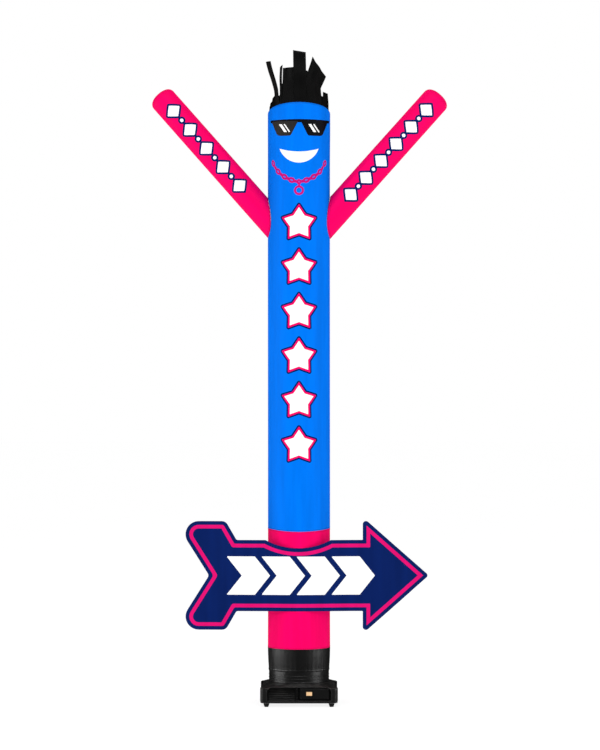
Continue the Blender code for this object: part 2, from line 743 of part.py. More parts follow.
def make_feet():
    top = FOOT_HEIGHT - SEAM
    profile = [
        (0.0, top),
        (FOOT_TOP_RADIUS, top),
        (FOOT_TOP_RADIUS, top - 0.008),
        (FOOT_TOE_RADIUS + 0.002, 0.004),
        (FOOT_TOE_RADIUS, 0.0),
        (0.0, 0.0),
    ]
    for front_back, y in (("front", -FOOT_AT), ("back", FOOT_AT)):
        for side, x in (("left", -FOOT_AT), ("right", FOOT_AT)):
            foot = turned_part(f"foot_{front_back}_{side}", profile, FOOT_AROUND, "rubber", closed=False)
            foot.location = (x, y, 0)


# ---------------------------------------------------------------- control box, switch, gland


def make_controls():
    box = block_shape(BOX_LOW, BOX_HIGH)
    front_edges = [e for e in box.edges if all(v.co.y < BOX_LOW[1] + MERGE for v in e.verts)]
    round_edges(box, front_edges, BOX_ROUND, 2)
    box = add_part("control_box", to_mesh(box, "control_box"), "dark_plastic")

    face = BOX_LOW[1]
    wide, deep, tall = (POCKET[0] / 2, POCKET[1], POCKET[2] / 2)
    pocket_low = (SWITCH_X - wide, face - 0.02, SWITCH_Z - tall)
    pocket_high = (SWITCH_X + wide, face + deep, SWITCH_Z + tall)
    pocket = add_cutter("rocker_pocket", to_mesh(block_shape(pocket_low, pocket_high), "rocker_pocket"))
    cut(box, pocket)

    low = (SWITCH_X - wide - BEZEL_FRAME, face - SEAM - BEZEL_PROUD, SWITCH_Z - tall - BEZEL_FRAME)
    high = (SWITCH_X + wide + BEZEL_FRAME, face - SEAM, SWITCH_Z + tall + BEZEL_FRAME)
    bezel = block_shape(low, high)
    round_edges(bezel, edges_along(bezel, 1), BEZEL_FRAME / 2, 2)
    bezel = add_part("switch_bezel", to_mesh(bezel, "switch_bezel"), "black_plastic")
    cut(bezel, pocket)

    rocker = add_part("switch_rocker", outline_mesh("switch_rocker", ROCKER_OUTLINE, ROCKER_HEIGHT), "amber")
    rocker.location = (SWITCH_X, face, SWITCH_Z)
    rocker.rotation_euler.z = ROCKER_REST


def make_gland():
    """Where the power cord goes in, on the blank half of the back."""
    gland = turned_part("cable_gland", GLAND_PROFILE, GLAND_AROUND, "black_plastic", closed=True)
    gland.location = (GLAND_AT[0], LOUVRE_OUT + SEAM, GLAND_AT[1])
    gland.rotation_euler.x = -math.pi / 2


clear_scene()
parts = new_collection("Air dancer")
cutters = new_collection("Cutters")
make_body()
make_arms()
make_cuff()
make_hair()
make_sign()
make_outlet()
make_housing()
make_plate()
make_louvres()
make_feet()
make_controls()
make_gland()
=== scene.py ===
"""Looks of the inflatable air dancer: its cloth, prints, seams, hair, arrow panel and blower.

The origin is on the floor under the middle of the blower, +Z is up and the face and the arrow
look towards -Y. Left and right are the viewer's. Metres throughout.
"""
import math
from collections import namedtuple

import bmesh
import bpy
import numpy as np
from bpy.props import FloatProperty, FloatVectorProperty, IntProperty, PointerProperty
from mathutils import Matrix, Vector
from mathutils.geometry import delaunay_2d_cdt


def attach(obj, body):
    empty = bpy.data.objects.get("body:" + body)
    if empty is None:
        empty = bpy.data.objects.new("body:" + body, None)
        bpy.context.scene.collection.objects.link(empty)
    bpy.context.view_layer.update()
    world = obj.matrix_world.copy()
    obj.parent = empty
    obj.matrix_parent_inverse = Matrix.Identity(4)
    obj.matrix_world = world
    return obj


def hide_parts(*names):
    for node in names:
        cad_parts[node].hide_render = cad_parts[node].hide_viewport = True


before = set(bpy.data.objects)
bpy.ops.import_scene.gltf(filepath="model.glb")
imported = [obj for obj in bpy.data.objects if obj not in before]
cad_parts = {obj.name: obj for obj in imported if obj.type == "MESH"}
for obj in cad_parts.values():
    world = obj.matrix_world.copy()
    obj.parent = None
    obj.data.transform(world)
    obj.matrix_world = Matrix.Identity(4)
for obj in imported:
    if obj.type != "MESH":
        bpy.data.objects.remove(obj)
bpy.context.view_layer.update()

bl_info = {
    "name": "Air Dancer Looks",
    "version": (1, 0, 0),
    "blender": (4, 5, 0),
    "location": "View3D > Sidebar > Air Dancer",
    "description": "Dresses the air dancer with cloth, prints, seams, blower fittings and a studio",
    "category": "Object",
}

BODY = "dancer"  # the body that all the pieces below ride on

# ---------------------------------------------------------------- measures shared with the solids

SEAM = 0.0003
TUBE_RADIUS = 0.2375
LOWER_BOTTOM = 0.431
UPPER_BOTTOM = 1.332
SWAY = 0.0085  # how far the seam between the two colours strays up and down
SWAY_DROP = 0.0025
SWAY_REACH = 0.09
SHOULDER = 4.40  # the folds end below it
RIM_SIDE = 4.508
RIM_RISE = 0.059
RIM_DIP_ROUND = 0.15
RIM_TURN = 0.022
RIM_INSET = 0.007
SIGN_HEIGHT = 0.990
FOLD_FADE = 0.30
Fold = namedtuple("Fold", "lobes depth drift")
FOLDS = (Fold(5, 0.0016, 0.9), Fold(9, 0.0010, -1.6))

CUFF_RADIUS = 0.2314
# drawn_in is the share of the way from the body's radius to the cuff's, pleat that of the gathers
CuffRow = namedtuple("CuffRow", "height drawn_in pleat")
CUFF_ROWS = (
    CuffRow(0.257, 1.00, 0.5),
    CuffRow(0.264, 0.96, 1.0),
    CuffRow(0.285, 1.00, 1.0),
    CuffRow(0.325, 0.55, 0.7),
    CuffRow(0.375, 0.20, 0.3),
    CuffRow(0.431, 0.00, 0.0),
)

ARM_RADII = {"left": 0.1015, "right": 0.107}
ARM_HEIGHT = 3.70
ARM_STRAIGHT = 1.192
ARM_TIP = 0.066  # length of the round tip past the straight
ARM_TILTS = {"left": 131.5, "right": 48.2}
ARM_TIP_SQUARENESS = 2.3
ARM_FOLD_LOBES = 6
ARM_FOLD_DEPTH = 0.0012

HAIR_SLOTS = 72
HAIR_BAND = 0.055
HAIR_BAND_SHOWS = 0.003
HAIR_RADIUS = TUBE_RADIUS - RIM_INSET - 0.0023
# lean carries a strip's tip, slant tilts it and turn, in degrees, twists it; kink sets the strip
# over by a distance, most at a share of its height
Strip = namedtuple("Strip", "start slots rise lean width slant turn kink")
HAIR_STRIPS = (
    Strip(36, 8, 0.078, (0.018, 0.006), 0.125, 0.090, 0, (0.000, 0.6)),
    Strip(44, 2, 0.326, (-0.074, -0.020), 0.046, 0.004, 8, (0.012, 0.34)),
    Strip(46, 1, 0.284, (0.001, -0.006), 0.026, 0.022, 0, (0.000, 0.6)),
    Strip(47, 5, 0.265, (0.004, 0.014), 0.082, 0.006, 6, (0.002, 0.6)),
    Strip(52, 5, 0.379, (-0.007, -0.012), 0.096, -0.016, -3, (0.000, 0.6)),
    Strip(57, 7, 0.275, (0.028, -0.010), 0.127, -0.146, 4, (-0.026, 0.6)),
    Strip(64, 6, 0.116, (-0.006, 0.004), 0.088, -0.010, 0, (0.000, 0.6)),
    Strip(70, 5, 0.104, (-0.026, 0.004), 0.078, 0.018, 6, (0.000, 0.6)),
    Strip(3, 6, 0.098, (-0.018, 0.012), 0.094, 0.022, -5, (0.000, 0.6)),
    Strip(9, 5, 0.185, (0.000, 0.022), 0.084, 0.034, 4, (0.010, 0.6)),
    Strip(14, 8, 0.262, (-0.010, 0.016), 0.150, -0.020, -4, (0.006, 0.6)),
    Strip(22, 4, 0.190, (0.016, 0.026), 0.090, -0.030, 6, (-0.008, 0.6)),
    Strip(26, 5, 0.085, (0.012, 0.004), 0.084, -0.055, 0, (0.000, 0.6)),
    Strip(31, 5, 0.045, (0.010, 0.000), 0.078, -0.030, 0, (0.000, 0.6)),
)

SIGN_THICKNESS = 0.003
SIGN_SWEEP = 0.050
SIGN_BEND = 0.30
SIGN_WAVE = 0.006
SIGN_WAVE_LENGTH = 0.62
SIGN_SHAFT = 0.2692
Corner = namedtuple("Corner", "x z radius")
SIGN_CORNERS = (
    Corner(-0.681, 0.0, 0.030),
    Corner(-0.9395, 0.4114, 0.100),
    Corner(-0.5546, 0.4114, 0.050),
    Corner(-0.4727, SIGN_SHAFT, 0.020),
    Corner(0.4825, SIGN_SHAFT, 0.004),
    Corner(0.4825, 0.4414, 0.024),
    Corner(0.9830, 0.0, 0.021),
)
SIGN_DIP = (-0.254, 0.241, 0.062)  # from, to and depth of the arc let into the top edge

OUTLET_RADIUS = 0.2286
OUTLET_WALL = 0.004
OUTLET_TOP = 0.345
OUTLET_BEADS = (0.226, 0.204)
DECK_TOP = 0.174
DECK_HALF = 0.232  # from the axis to a side of the eight-sided deck
DECK_SHORT = DECK_HALF * math.tan(math.pi / 8)
OUTLET_HOLE = 0.2205
HOUSING_HALF = 0.292
HOUSING_WALL = 0.004
HOUSING_CORNER = 0.030
HOUSING_SHOULDER = 0.142
HOUSING_BEND = 0.007
HOUSING_FLOOR = 0.0343
WINDOW_HALF = 0.245
WINDOW_BOTTOM = 0.046
WINDOW_TOP = 0.150
WINDOW_ROUND = 0.038
WINDOW_FOOT_ROUND = 0.003
CUTTER_REACH = 0.05
LIP_SINK = 0.001  # how far behind the housing's face the middle of a window's lip lies

# ---------------------------------------------------------------- measures of the cloth's finish

AROUND = 216  # columns of cloth round the body
ARM_AROUND = 96
CUFF_AROUND = 480
PANEL_STEP = 0.02  # width of the arrow panel's mesh
PANEL_THICKNESS = 0.0012
ROW_LONG = 0.030  # height of a row of cloth away from seams
SEAM_ROWS = (0.0, 0.002, 0.006, 0.0115, 0.0135, 0.018, 0.026, 0.038, 0.056, 0.080)
HEM = 0.012  # width of the folded hem at a seam
HEM_RISE = 0.0005
HEM_EDGE = 0.0015
PUCKER_DEPTH = 0.0009
PUCKER_REACH = 0.030  # how far puckers run from a seam
PUCKER_LOBES = (41, 29)
NUDGE = 0.0005  # step to either side from which a slope is worked out
Trough = namedtuple("Trough", "at width depth low high lean", defaults=(0,))
# soft creases along the cloth: degrees from the front, degrees of width, depth, ends and degrees
# of lean
TROUGHS = (
    Trough(-3, 13, 0.0030, 1.50, 4.10, -4),
    Trough(49, 9, 0.0026, 1.40, 3.60, 3),
    Trough(-57, 9, 0.0026, 1.90, 4.30, 2),
    Trough(-20, 3.0, 0.0016, 0.45, 1.20, 1),
    Trough(24, 4, 0.0010, 0.50, 1.10, -2),
    Trough(120, 10, 0.0024, 0.60, 3.30, -5),
    Trough(-126, 12, 0.0026, 0.80, 3.90, 4),
    Trough(150, 11, 0.0022, 1.60, 4.20, 3),
    Trough(-160, 8, 0.0020, 0.50, 2.70, -3),
    Trough(14, 5, 0.0012, 3.95, 4.44, 2),
    Trough(-30, 7, 0.0012, 3.90, 4.47, -3),
)
TROUGH_END = 0.25  # share of its length over which a crease fades out at each end
ARM_TROUGHS = {
    "left": (
        Trough(28, 12, 0.0022, 0.10, 0.95),
        Trough(-52, 14, 0.0024, 0.20, 1.20),
        Trough(160, 16, 0.003, 0.1, 1.1),
    ),
    "right": (
        Trough(-30, 12, 0.0022, 0.12, 0.90),
        Trough(48, 14, 0.0024, 0.25, 1.20),
        Trough(-150, 16, 0.003, 0.1, 1.0),
    ),
}
ARM_TROUGH_END = 0.3

# faces of a cloth's material list
PLAIN, WHITE, PINK, NAVY, BLACK, SMOKE, CHAIN = range(7)


# ---------------------------------------------------------------- settings


def length(name, value, description):
    return FloatProperty(name=name, description=description, default=value, unit="LENGTH")


def colour(name, value, description):
    return FloatVectorProperty(
        name=name, description=description, default=value, size=3, subtype="COLOR", min=0, max=1
    )


class AirDancerCloth(bpy.types.PropertyGroup):
    thickness: FloatProperty(
        name="Cloth thickness",
        description="Thickness of the nylon of the body, arms and cuff",
        default=0.0006,
        min=0.0002,
        max=0.0015,
        unit="LENGTH",
    )
    thread: length("Thread pitch", 0.0006, "Distance from thread to thread in the weave")
    ripstop: length("Ripstop pitch", 0.006, "Distance from one heavy thread to the next")
    stitch: length("Stitch pitch", 0.006, "Distance from stitch to stitch along a seam")


class AirDancerPrints(bpy.types.PropertyGroup):
    stars: IntProperty(
        name="Stars",
        description="Number of stars down the front of the body",
        default=6,
        min=0,
        max=8,
    )
    star_radius: length(
        "Star radius", 0.168, "From a star's middle to the tip of its outer outline"
    )
    chevrons: IntProperty(
        name="Chevrons",
        description="Number of chevrons across the arrow panel",
        default=4,
        min=0,
        max=5,
    )
    edge: length("Panel edge", 0.0285, "Width of the panel's plain edge outside its stripe")
    stripe: length("Panel stripe", 0.0275, "Width of the stripe round the arrow panel")


class AirDancerColours(bpy.types.PropertyGroup):
    blue: colour("Blue", (0.0, 0.174, 0.85), "Cloth of the upper body")
    pink: colour("Pink", (0.96, 0.001, 0.125), "Cloth of the lower body and the arms, and pink prints")
    black: colour("Black", (0.0055, 0.0055, 0.0055), "Cloth of the cuff")
    hair: colour("Hair", (0.0012, 0.0012, 0.0012), "Cloth of the hair strips")
    navy: colour("Navy", (0.001, 0.0125, 0.105), "The arrow panel and the dark outlines")
    stripe: colour("Stripe", (0.72, 0.006, 0.155), "The stripe round the arrow panel")
    white: colour("White", (0.95, 0.95, 0.95), "White prints")
    chain: colour("Chain", (0.56, 0.006, 0.165), "The printed chain")
    housing: colour("Housing", (0.0075, 0.0075, 0.0075), "Moulded plastic of the blower")
    switch: colour("Switch", (0.78, 0.50, 0.26), "The rocker of the switch")


class AirDancerBlower(bpy.types.PropertyGroup):
    screw_radius: length("Screw radius", 0.0050, "Radius of the screws' heads on the blower")
    lip: length("Window lip", 0.0028, "Radius of the rounded lip round each window")


class AirDancerStudio(bpy.types.PropertyGroup):
    distance: length("Camera distance", 25.0, "From the camera to the dancer")
    ambient: FloatProperty(
        name="Ambient", description="Strength of the even light from all round", default=0.57
    )
    reflected: FloatProperty(
        name="Reflected", description="Strength of the even light in reflections", default=0.02
    )
    side_light: FloatProperty(
        name="Side light", description="Brightness of the softboxes for matt things", default=2.45
    )
    shine: FloatProperty(
        name="Shine", description="Brightness of the reflectors seen in gloss", default=5.2
    )


# ---------------------------------------------------------------- outlines on flat cloth

LEAST_ROUND = 0.002  # radius that an inset corner keeps


def enclosed(outline):
    """The area inside an outline, below zero where it runs clockwise."""
    sides = zip(outline, outline[1:] + outline[:1], strict=True)
    return sum(a[0] * b[1] - b[0] * a[1] for a, b in sides) / 2


def ccw(points):
    """The outline turned to run anticlockwise."""
    return points if enclosed(points) > 0 else points[::-1]


def inset_corners(corners, inset):
    """The corners, run anticlockwise, of the outline drawn a distance further in."""
    corners = ccw(corners)
    moved = []
    for i, here in enumerate(corners):
        before, after = corners[i - 1], corners[(i + 1) % len(corners)]
        come = Vector((here.x - before.x, here.z - before.z)).normalized()
        go = Vector((after.x - here.x, after.z - here.z)).normalized()
        inward = Vector((-come.y, come.x)) + Vector((-go.y, go.x))
        inward *= inset / (1 + come.dot(go))
        turn = come.x * go.y - come.y * go.x
        radius = here.radius
        if radius > 0 and turn > 0:
            radius = max(radius - inset, LEAST_ROUND)
        moved.append(Corner(here.x + inward.x, here.z + inward.y, radius))
    return moved


def rounded(corners, arc_step=math.radians(12)):
    """The outline through the corners, each rounded with its own radius."""
    points = []
    for i, corner in enumerate(corners):
        before, after = corners[i - 1], corners[(i + 1) % len(corners)]
        here = Vector((corner.x, corner.z))
        if corner.radius <= 0:
            points.append(here)
            continue
        back = (Vector((before.x, before.z)) - here).normalized()
        ahead = (Vector((after.x, after.z)) - here).normalized()
        half = back.angle(ahead) / 2
        centre = here + (back + ahead).normalized() * corner.radius / math.sin(half)
        start = here + back * corner.radius / math.tan(half) - centre
        end = here + ahead * corner.radius / math.tan(half) - centre
        turn = math.atan2(start.x * end.y - start.y * end.x, start.dot(end))
        first = math.atan2(start.y, start.x)
        steps = max(2, round(abs(turn) / arc_step))
        for step in range(steps + 1):
            angle = first + turn * step / steps
            points.append(centre + Vector((math.cos(angle), math.sin(angle))) * corner.radius)
    return points


def finer(points, longest=0.012):
    """The outline with its long sides divided."""
    divided = []
    for here, there in zip(points, points[1:] + points[:1], strict=True):
        pieces = max(1, math.ceil((there - here).length / longest))
        divided += [here.lerp(there, step / pieces) for step in range(pieces)]
    return divided


def oval(centre, half_long, half_wide, tilt=0.0, steps=20):
    """An oval whose long axis is tilted from level."""
    across = Matrix.Rotation(tilt, 2)
    turns = [2 * math.pi * i / steps for i in range(steps)]
    return [
        Vector(centre) + across @ Vector((half_long * math.cos(t), half_wide * math.sin(t)))
        for t in turns
    ]


def arc_through(left, sag, right, steps=28):
    """Points from left to right on an arc whose middle hangs sag below the line between them."""
    left, right = Vector(left), Vector(right)
    half = (right - left).length / 2
    radius = (half**2 + sag**2) / (2 * sag)
    middle = (left + right) / 2
    points = []
    for step in range(steps + 1):
        x = -half + 2 * half * step / steps
        fall = math.sqrt(radius**2 - x**2) - (radius - sag)
        points.append(Vector((middle.x + x, left.lerp(right, step / steps).y - fall)))
    return points


def wrapped(points):
    """Points drawn as seen from the front, laid round the body."""
    return [Vector((TUBE_RADIUS * math.asin(p.x / TUBE_RADIUS), p.y)) for p in points]


Print = namedtuple("Print", "outline material holes", defaults=((),))


# ---------------------------------------------------------------- cutting and making cloth


def near_outlines(spots, outlines, reach):
    """For each spot, whether an outline passes within reach of it."""
    spots = np.array([tuple(s) for s in spots])
    near = np.zeros(len(spots), bool)
    for outline in outlines:
        starts = np.array([tuple(p) for p in outline])
        ends = np.roll(starts, -1, 0)
        low, high = starts.min(0) - reach, starts.max(0) + reach
        close = np.flatnonzero(((spots > low) & (spots < high)).all(1) & ~near)
        for start, end in zip(starts, ends, strict=True):
            along = end - start
            from_start = spots[close] - start
            share = (from_start @ along / max(along @ along, 1e-12)).clip(0, 1)
            away = np.linalg.norm(from_start - share[:, None] * along, axis=1)
            near[close[away < reach]] = True
    return near


def lay_prints(spots, border, prints, holes, spacing):
    """Triangles over the spots, cut along the prints. border lists the spots on the outside in
    order. Returns the spots with the new ones added, and (three spots, material) for each face."""
    outlines = []
    places = []  # for each print, the number of its outline and of its holes
    for mark in prints:
        outlines.append(ccw(mark.outline))
        own = len(outlines) - 1
        outlines += [ccw(hole) for hole in mark.holes]
        places.append((own, list(range(own + 1, len(outlines))), mark.material))
    open_ones = list(range(len(outlines), len(outlines) + len(holes)))
    outlines += [ccw(hole) for hole in holes]
    fixed = set(border)
    crowded = near_outlines(spots, outlines, spacing * 0.3)
    used = [i for i in range(len(spots)) if i in fixed or not crowded[i]]
    number = {spot: i for i, spot in enumerate(used)}
    flat = [Vector(spots[i]) for i in used]
    edges = [
        (number[a], number[b]) for a, b in zip(border, border[1:] + border[:1], strict=True)
    ]
    loops = []
    for outline in outlines:
        loops.append(list(range(len(flat), len(flat) + len(outline))))
        flat += outline
    cut_spots, _, cut_faces, origins, _, inside = delaunay_2d_cdt(flat, edges, loops, 0, 1e-7)
    all_spots = list(spots)
    final = []
    for spot, origin in zip(cut_spots, origins, strict=True):
        known = [o for o in origin if o < len(used)]
        if known:
            final.append(used[known[0]])
        else:
            all_spots.append((spot.x, spot.y))
            final.append(len(all_spots) - 1)
    faces = []
    for corners, within in zip(cut_faces, inside, strict=True):
        within = set(within)
        if within.intersection(open_ones):
            continue
        finish = PLAIN
        for own, gaps, material in places:
            if own in within and not within.intersection(gaps):
                finish = material
        faces.append((tuple(final[c] for c in corners), finish))
    return all_spots, faces


def facing(place, u, w):
    """The way the cloth faces at a flat place."""
    across = place(u + NUDGE, w) - place(u - NUDGE, w)
    up = place(u, w + NUDGE) - place(u, w - NUDGE)
    return across.cross(up).normalized()


def sew_mesh(name, spots, faces, place, thickness, pole=None, pole_way=None):
    """A closed thin mesh. faces hold (spot numbers, flat corners, material); the outer side is at
    place(u, w), and the cloth's edges are closed."""
    outer = [place(*spot) for spot in spots]
    ways = [
        pole_way if i == pole else facing(place, *spot).copy() for i, spot in enumerate(spots)
    ]
    inner = [point - way * thickness for point, way in zip(outer, ways, strict=True)]
    count = len(spots)
    rim = {}
    polygons, flats, finishes = [], [], []
    for corners, flat, finish in faces:
        polygons.append(corners)
        flats.append(flat)
        finishes.append(finish)
        polygons.append(tuple(c + count for c in reversed(corners)))
        flats.append(tuple(reversed(flat)))
        finishes.append(PLAIN)
        for i, here in enumerate(corners):
            after = corners[(i + 1) % len(corners)]
            if (after, here) in rim:
                del rim[(after, here)]
            else:
                rim[(here, after)] = (flat[i], flat[(i + 1) % len(corners)], finish)
    for (here, after), (flat_here, flat_after, finish) in rim.items():
        polygons.append((after, here, here + count, after + count))
        flats.append((flat_after, flat_here, flat_here, flat_after))
        finishes.append(finish)
    mesh = bpy.data.meshes.new(name)
    mesh.from_pydata(outer + inner, [], polygons)
    mesh.polygons.foreach_set("material_index", finishes)
    layer = mesh.uv_layers.new(name="cloth")
    layer.uv.foreach_set("vector", [value for flat in flats for spot in flat for value in spot])
    mesh.shade_smooth()
    mesh.normals_split_custom_set_from_vertices(ways + [-way for way in ways])
    mesh.update()
    return mesh


def without_spares(spots, faces):
    """The spots that the faces use, the faces with their new numbers, and the numbers by the old
    ones. faces hold (spot numbers, flat corners, material)."""
    wanted = sorted({c for corners, _, _ in faces for c in corners})
    renumbered = {old: new for new, old in enumerate(wanted)}
    faces = [(tuple(renumbered[c] for c in cs), flat, finish) for cs, flat, finish in faces]
    return [spots[old] for old in wanted], faces, renumbered


def tube_cloth(name, columns, rows, place, thickness, prints=(), holes=(), pole_way=None):
    """A tube of cloth. columns run once round it, the last one meeting the first; rows run up it,
    and with pole_way the last row is a single point."""
    around = len(columns) - 1
    last = len(rows) - 1
    spots = [(u, w) for w in rows for u in columns[:-1]]
    pole = None
    if pole_way is not None:
        pole = last * around
        spots = spots[: pole + 1]

    def number(i, j):
        if pole is not None and j == last:
            return pole
        return j * around + i % around

    window = None
    faces = []
    if prints or holes:
        drawn = [p for mark in prints for p in mark.outline] + [p for hole in holes for p in hole]
        i0 = max(i for i, u in enumerate(columns) if u < min(p.x for p in drawn)) - 1
        i1 = min(i for i, u in enumerate(columns) if u > max(p.x for p in drawn)) + 1
        j0 = max(j for j, w in enumerate(rows) if w < min(p.y for p in drawn))
        j1 = min(j for j, w in enumerate(rows) if w > max(p.y for p in drawn))
        window = (i0, i1, j0, j1)
        inside = [(i, j) for j in range(j0, j1 + 1) for i in range(i0, i1 + 1)]
        local = {cell: k for k, cell in enumerate(inside)}
        border = [(i, j0) for i in range(i0, i1)] + [(i1, j) for j in range(j0, j1)]
        border += [(i, j1) for i in range(i1, i0, -1)] + [(i0, j) for j in range(j1, j0, -1)]
        flat = [(columns[i], rows[j]) for i, j in inside]
        spacing = columns[1] - columns[0]
        flat, cut = lay_prints(flat, [local[c] for c in border], prints, holes, spacing)
        known = [number(i, j) for i, j in inside]
        for extra in flat[len(inside) :]:
            known.append(len(spots))
            spots.append(extra)
        for corners, finish in cut:
            faces.append(
                (tuple(known[c] for c in corners), tuple(flat[c] for c in corners), finish)
            )
    for j in range(last):
        for i in range(around):
            if window and window[0] <= i < window[1] and window[2] <= j < window[3]:
                continue
            cell = [(i, j), (i + 1, j), (i + 1, j + 1), (i, j + 1)]
            corners = [number(*c) for c in cell]
            flat = [(columns[a], rows[b]) for a, b in cell]
            if pole is not None and j + 1 == last:
                del corners[3], flat[3]
            faces.append((tuple(corners), tuple(flat), PLAIN))
    spots, faces, renumbered = without_spares(spots, faces)
    return sew_mesh(name, spots, faces, place, thickness, renumbered.get(pole), pole_way)


def sheet_rows(bottom, top):
    """Heights of a sheet's rows, close together at its two seams."""
    reach = SEAM_ROWS[-1]
    count = max(1, round((top - bottom - 2 * reach) / ROW_LONG))
    between = [bottom + reach + (top - bottom - 2 * reach) * i / count for i in range(1, count)]
    return [bottom + d for d in SEAM_ROWS] + between + [top - d for d in reversed(SEAM_ROWS)]


def even_columns(half, count):
    return [-half + 2 * half * i / count for i in range(count + 1)]


def show(name, mesh, materials, *nodes, slot=None):
    """The finished piece, riding on the dancer and standing for its solids."""
    piece = bpy.data.objects.new(name, mesh)
    bpy.context.scene.collection.objects.link(piece)
    for material in materials:
        mesh.materials.append(material)
    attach(piece, BODY)
    if nodes:
        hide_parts(*nodes)
    return piece


# ---------------------------------------------------------------- the dancer's surfaces


def eased(share):
    """A share from 0 to 1 with a soft start and end."""
    share = min(max(share, 0.0), 1.0)
    return share * share * (3 - 2 * share)


def bump(away, reach):
    """The height of a soft bump, 1 at its middle, at a distance from there."""
    return math.exp(-((away / reach) ** 2))


def fade(height, bottom, top):
    """How much of a fold is left near its two ends."""
    return eased(min(height - bottom, top - height) / FOLD_FADE)


def fold_depth(angle, height):
    """How far the soft upright folds draw the wall in. The angle is measured from the front."""
    depth = 0.0
    for fold in FOLDS:
        wave = math.cos(fold.lobes * angle + fold.drift * (height - SIGN_HEIGHT))
        depth += fold.depth * (1 - wave) / 2
    return depth * fade(height, LOWER_BOTTOM, SHOULDER)


def trough_depth(angle, height):
    """How far the placed creases draw the wall in."""
    depth = 0.0
    for trough in TROUGHS:
        if not trough.low < height < trough.high:
            continue
        along = (height - trough.low) / (trough.high - trough.low)
        middle = math.radians(trough.at + trough.lean * (along - 0.5))
        away = math.remainder(angle - middle, 2 * math.pi) / math.radians(trough.width)
        if abs(away) < 3:
            ends = eased(min(along, 1 - along) / TROUGH_END)
            depth += trough.depth * ends * bump(away, 1.0)
    return depth


def rim_height(angle):
    """The rim dips at both sides and rises to the front and the back."""
    rise = math.hypot(math.cos(angle), RIM_DIP_ROUND) - RIM_DIP_ROUND
    return RIM_SIDE + RIM_RISE * rise / (math.hypot(1, RIM_DIP_ROUND) - RIM_DIP_ROUND)


def rim_inset(below):
    """How far the rim turns in, at a distance below its top."""
    if below >= RIM_TURN:
        return 0.0
    bend = (RIM_TURN**2 + RIM_INSET**2) / (2 * RIM_INSET)
    return bend - math.sqrt(bend**2 - (RIM_TURN - below) ** 2)


def seam_shape(angle, away):
    """What a seam adds to the wall at a distance from it: its hem stands out, its puckers go in."""
    away = abs(away)
    hem = HEM_RISE * eased((HEM + HEM_EDGE - away) / HEM_EDGE)
    puckers = sum(
        1 - math.cos(lobes * angle + 1.7 * math.sin(5 * angle + lobes)) for lobes in PUCKER_LOBES
    )
    return hem - PUCKER_DEPTH / 4 * puckers * bump(away, PUCKER_REACH)


def seam_sway(angle, height):
    """The seam between the two colours hangs lower at the front and the back than at the sides."""
    near = bump(height - UPPER_BOTTOM, SWAY_REACH)
    return -(SWAY_DROP + SWAY * math.cos(2 * angle)) * near


def on_tube(angle, radius, height):
    """A place on an upright tube. The angle is measured from the front."""
    return Vector((radius * math.sin(angle), -radius * math.cos(angle), height))


RIM_FROM = 4.452  # above this the rows follow the rim
RIM_TOP = RIM_SIDE + RIM_RISE
RIM_SEAM = 0.6  # how strong the rim's hem and pucker are beside those of a seam
ARM_SEAM = 0.5


def upper_place(u, w):
    """Where a spot of the upper body's cloth lies: u round it from the front, w up it."""
    angle = u / TUBE_RADIUS
    rim = rim_height(angle)
    height = w
    if w > RIM_FROM:
        height = RIM_FROM + (w - RIM_FROM) / (RIM_TOP - RIM_FROM) * (rim - RIM_FROM)
    radius = TUBE_RADIUS - fold_depth(angle, height) - trough_depth(angle, height)
    radius += seam_shape(angle, height - UPPER_BOTTOM - SEAM)
    below = rim - height
    radius += RIM_SEAM * seam_shape(angle, below) - rim_inset(below)
    return on_tube(angle, radius, height + seam_sway(angle, height))


def lower_place(u, w):
    """Where a spot of the lower body's cloth lies."""
    angle = u / TUBE_RADIUS
    radius = TUBE_RADIUS - fold_depth(angle, w) - trough_depth(angle, w)
    radius += seam_shape(angle, w - LOWER_BOTTOM - SEAM) + seam_shape(angle, UPPER_BOTTOM - w)
    return on_tube(angle, radius, w + seam_sway(angle, w))


GATHER_DEPTH = 0.0011
CORD_AT = 0.2672  # height of the cord in its channel, with a groove above it
CORD_REACH = 0.0042
CORD_RISE = 0.0010
GROOVE_AT = 0.2745
GROOVE_REACH = 0.0025
GROOVE_DEPTH = 0.0008


def cuff_place(u, w):
    """Where a spot of the cuff's cloth lies, gathered on the outlet at its foot."""
    angle = u / TUBE_RADIUS
    rows = CUFF_ROWS
    above = next((i for i in range(1, len(rows)) if w <= rows[i].height), len(rows) - 1)
    low, high = rows[above - 1], rows[above]
    share = (w - low.height) / (high.height - low.height)
    drawn_in = low.drawn_in + (high.drawn_in - low.drawn_in) * share
    pleat = low.pleat + (high.pleat - low.pleat) * share
    radius = TUBE_RADIUS + (CUFF_RADIUS - TUBE_RADIUS) * drawn_in
    swing = 0.9 * math.sin(3 * angle + 0.6) + 0.5 * math.sin(7 * angle + 2.0)
    gathers = 0.6 * math.cos(26 * angle + 2 * swing) + 0.4 * math.cos(43 * angle - 3 * swing)
    radius += GATHER_DEPTH * pleat * (gathers - 0.1)
    radius += CORD_RISE * bump(w - CORD_AT, CORD_REACH)
    radius -= GROOVE_DEPTH * bump(w - GROOVE_AT, GROOVE_REACH)
    radius += seam_shape(angle, LOWER_BOTTOM - w)
    return on_tube(angle, radius, w)


def arm_frame(side):
    """From an arm's own axes, +Z along it from where it meets the body, to the dancer's."""
    tilt = math.radians(ARM_TILTS[side])
    foot = math.copysign(TUBE_RADIUS, math.cos(tilt))
    return Matrix.Translation((foot, 0, ARM_HEIGHT)) @ Matrix.Rotation(math.pi / 2 - tilt, 4, "Y")


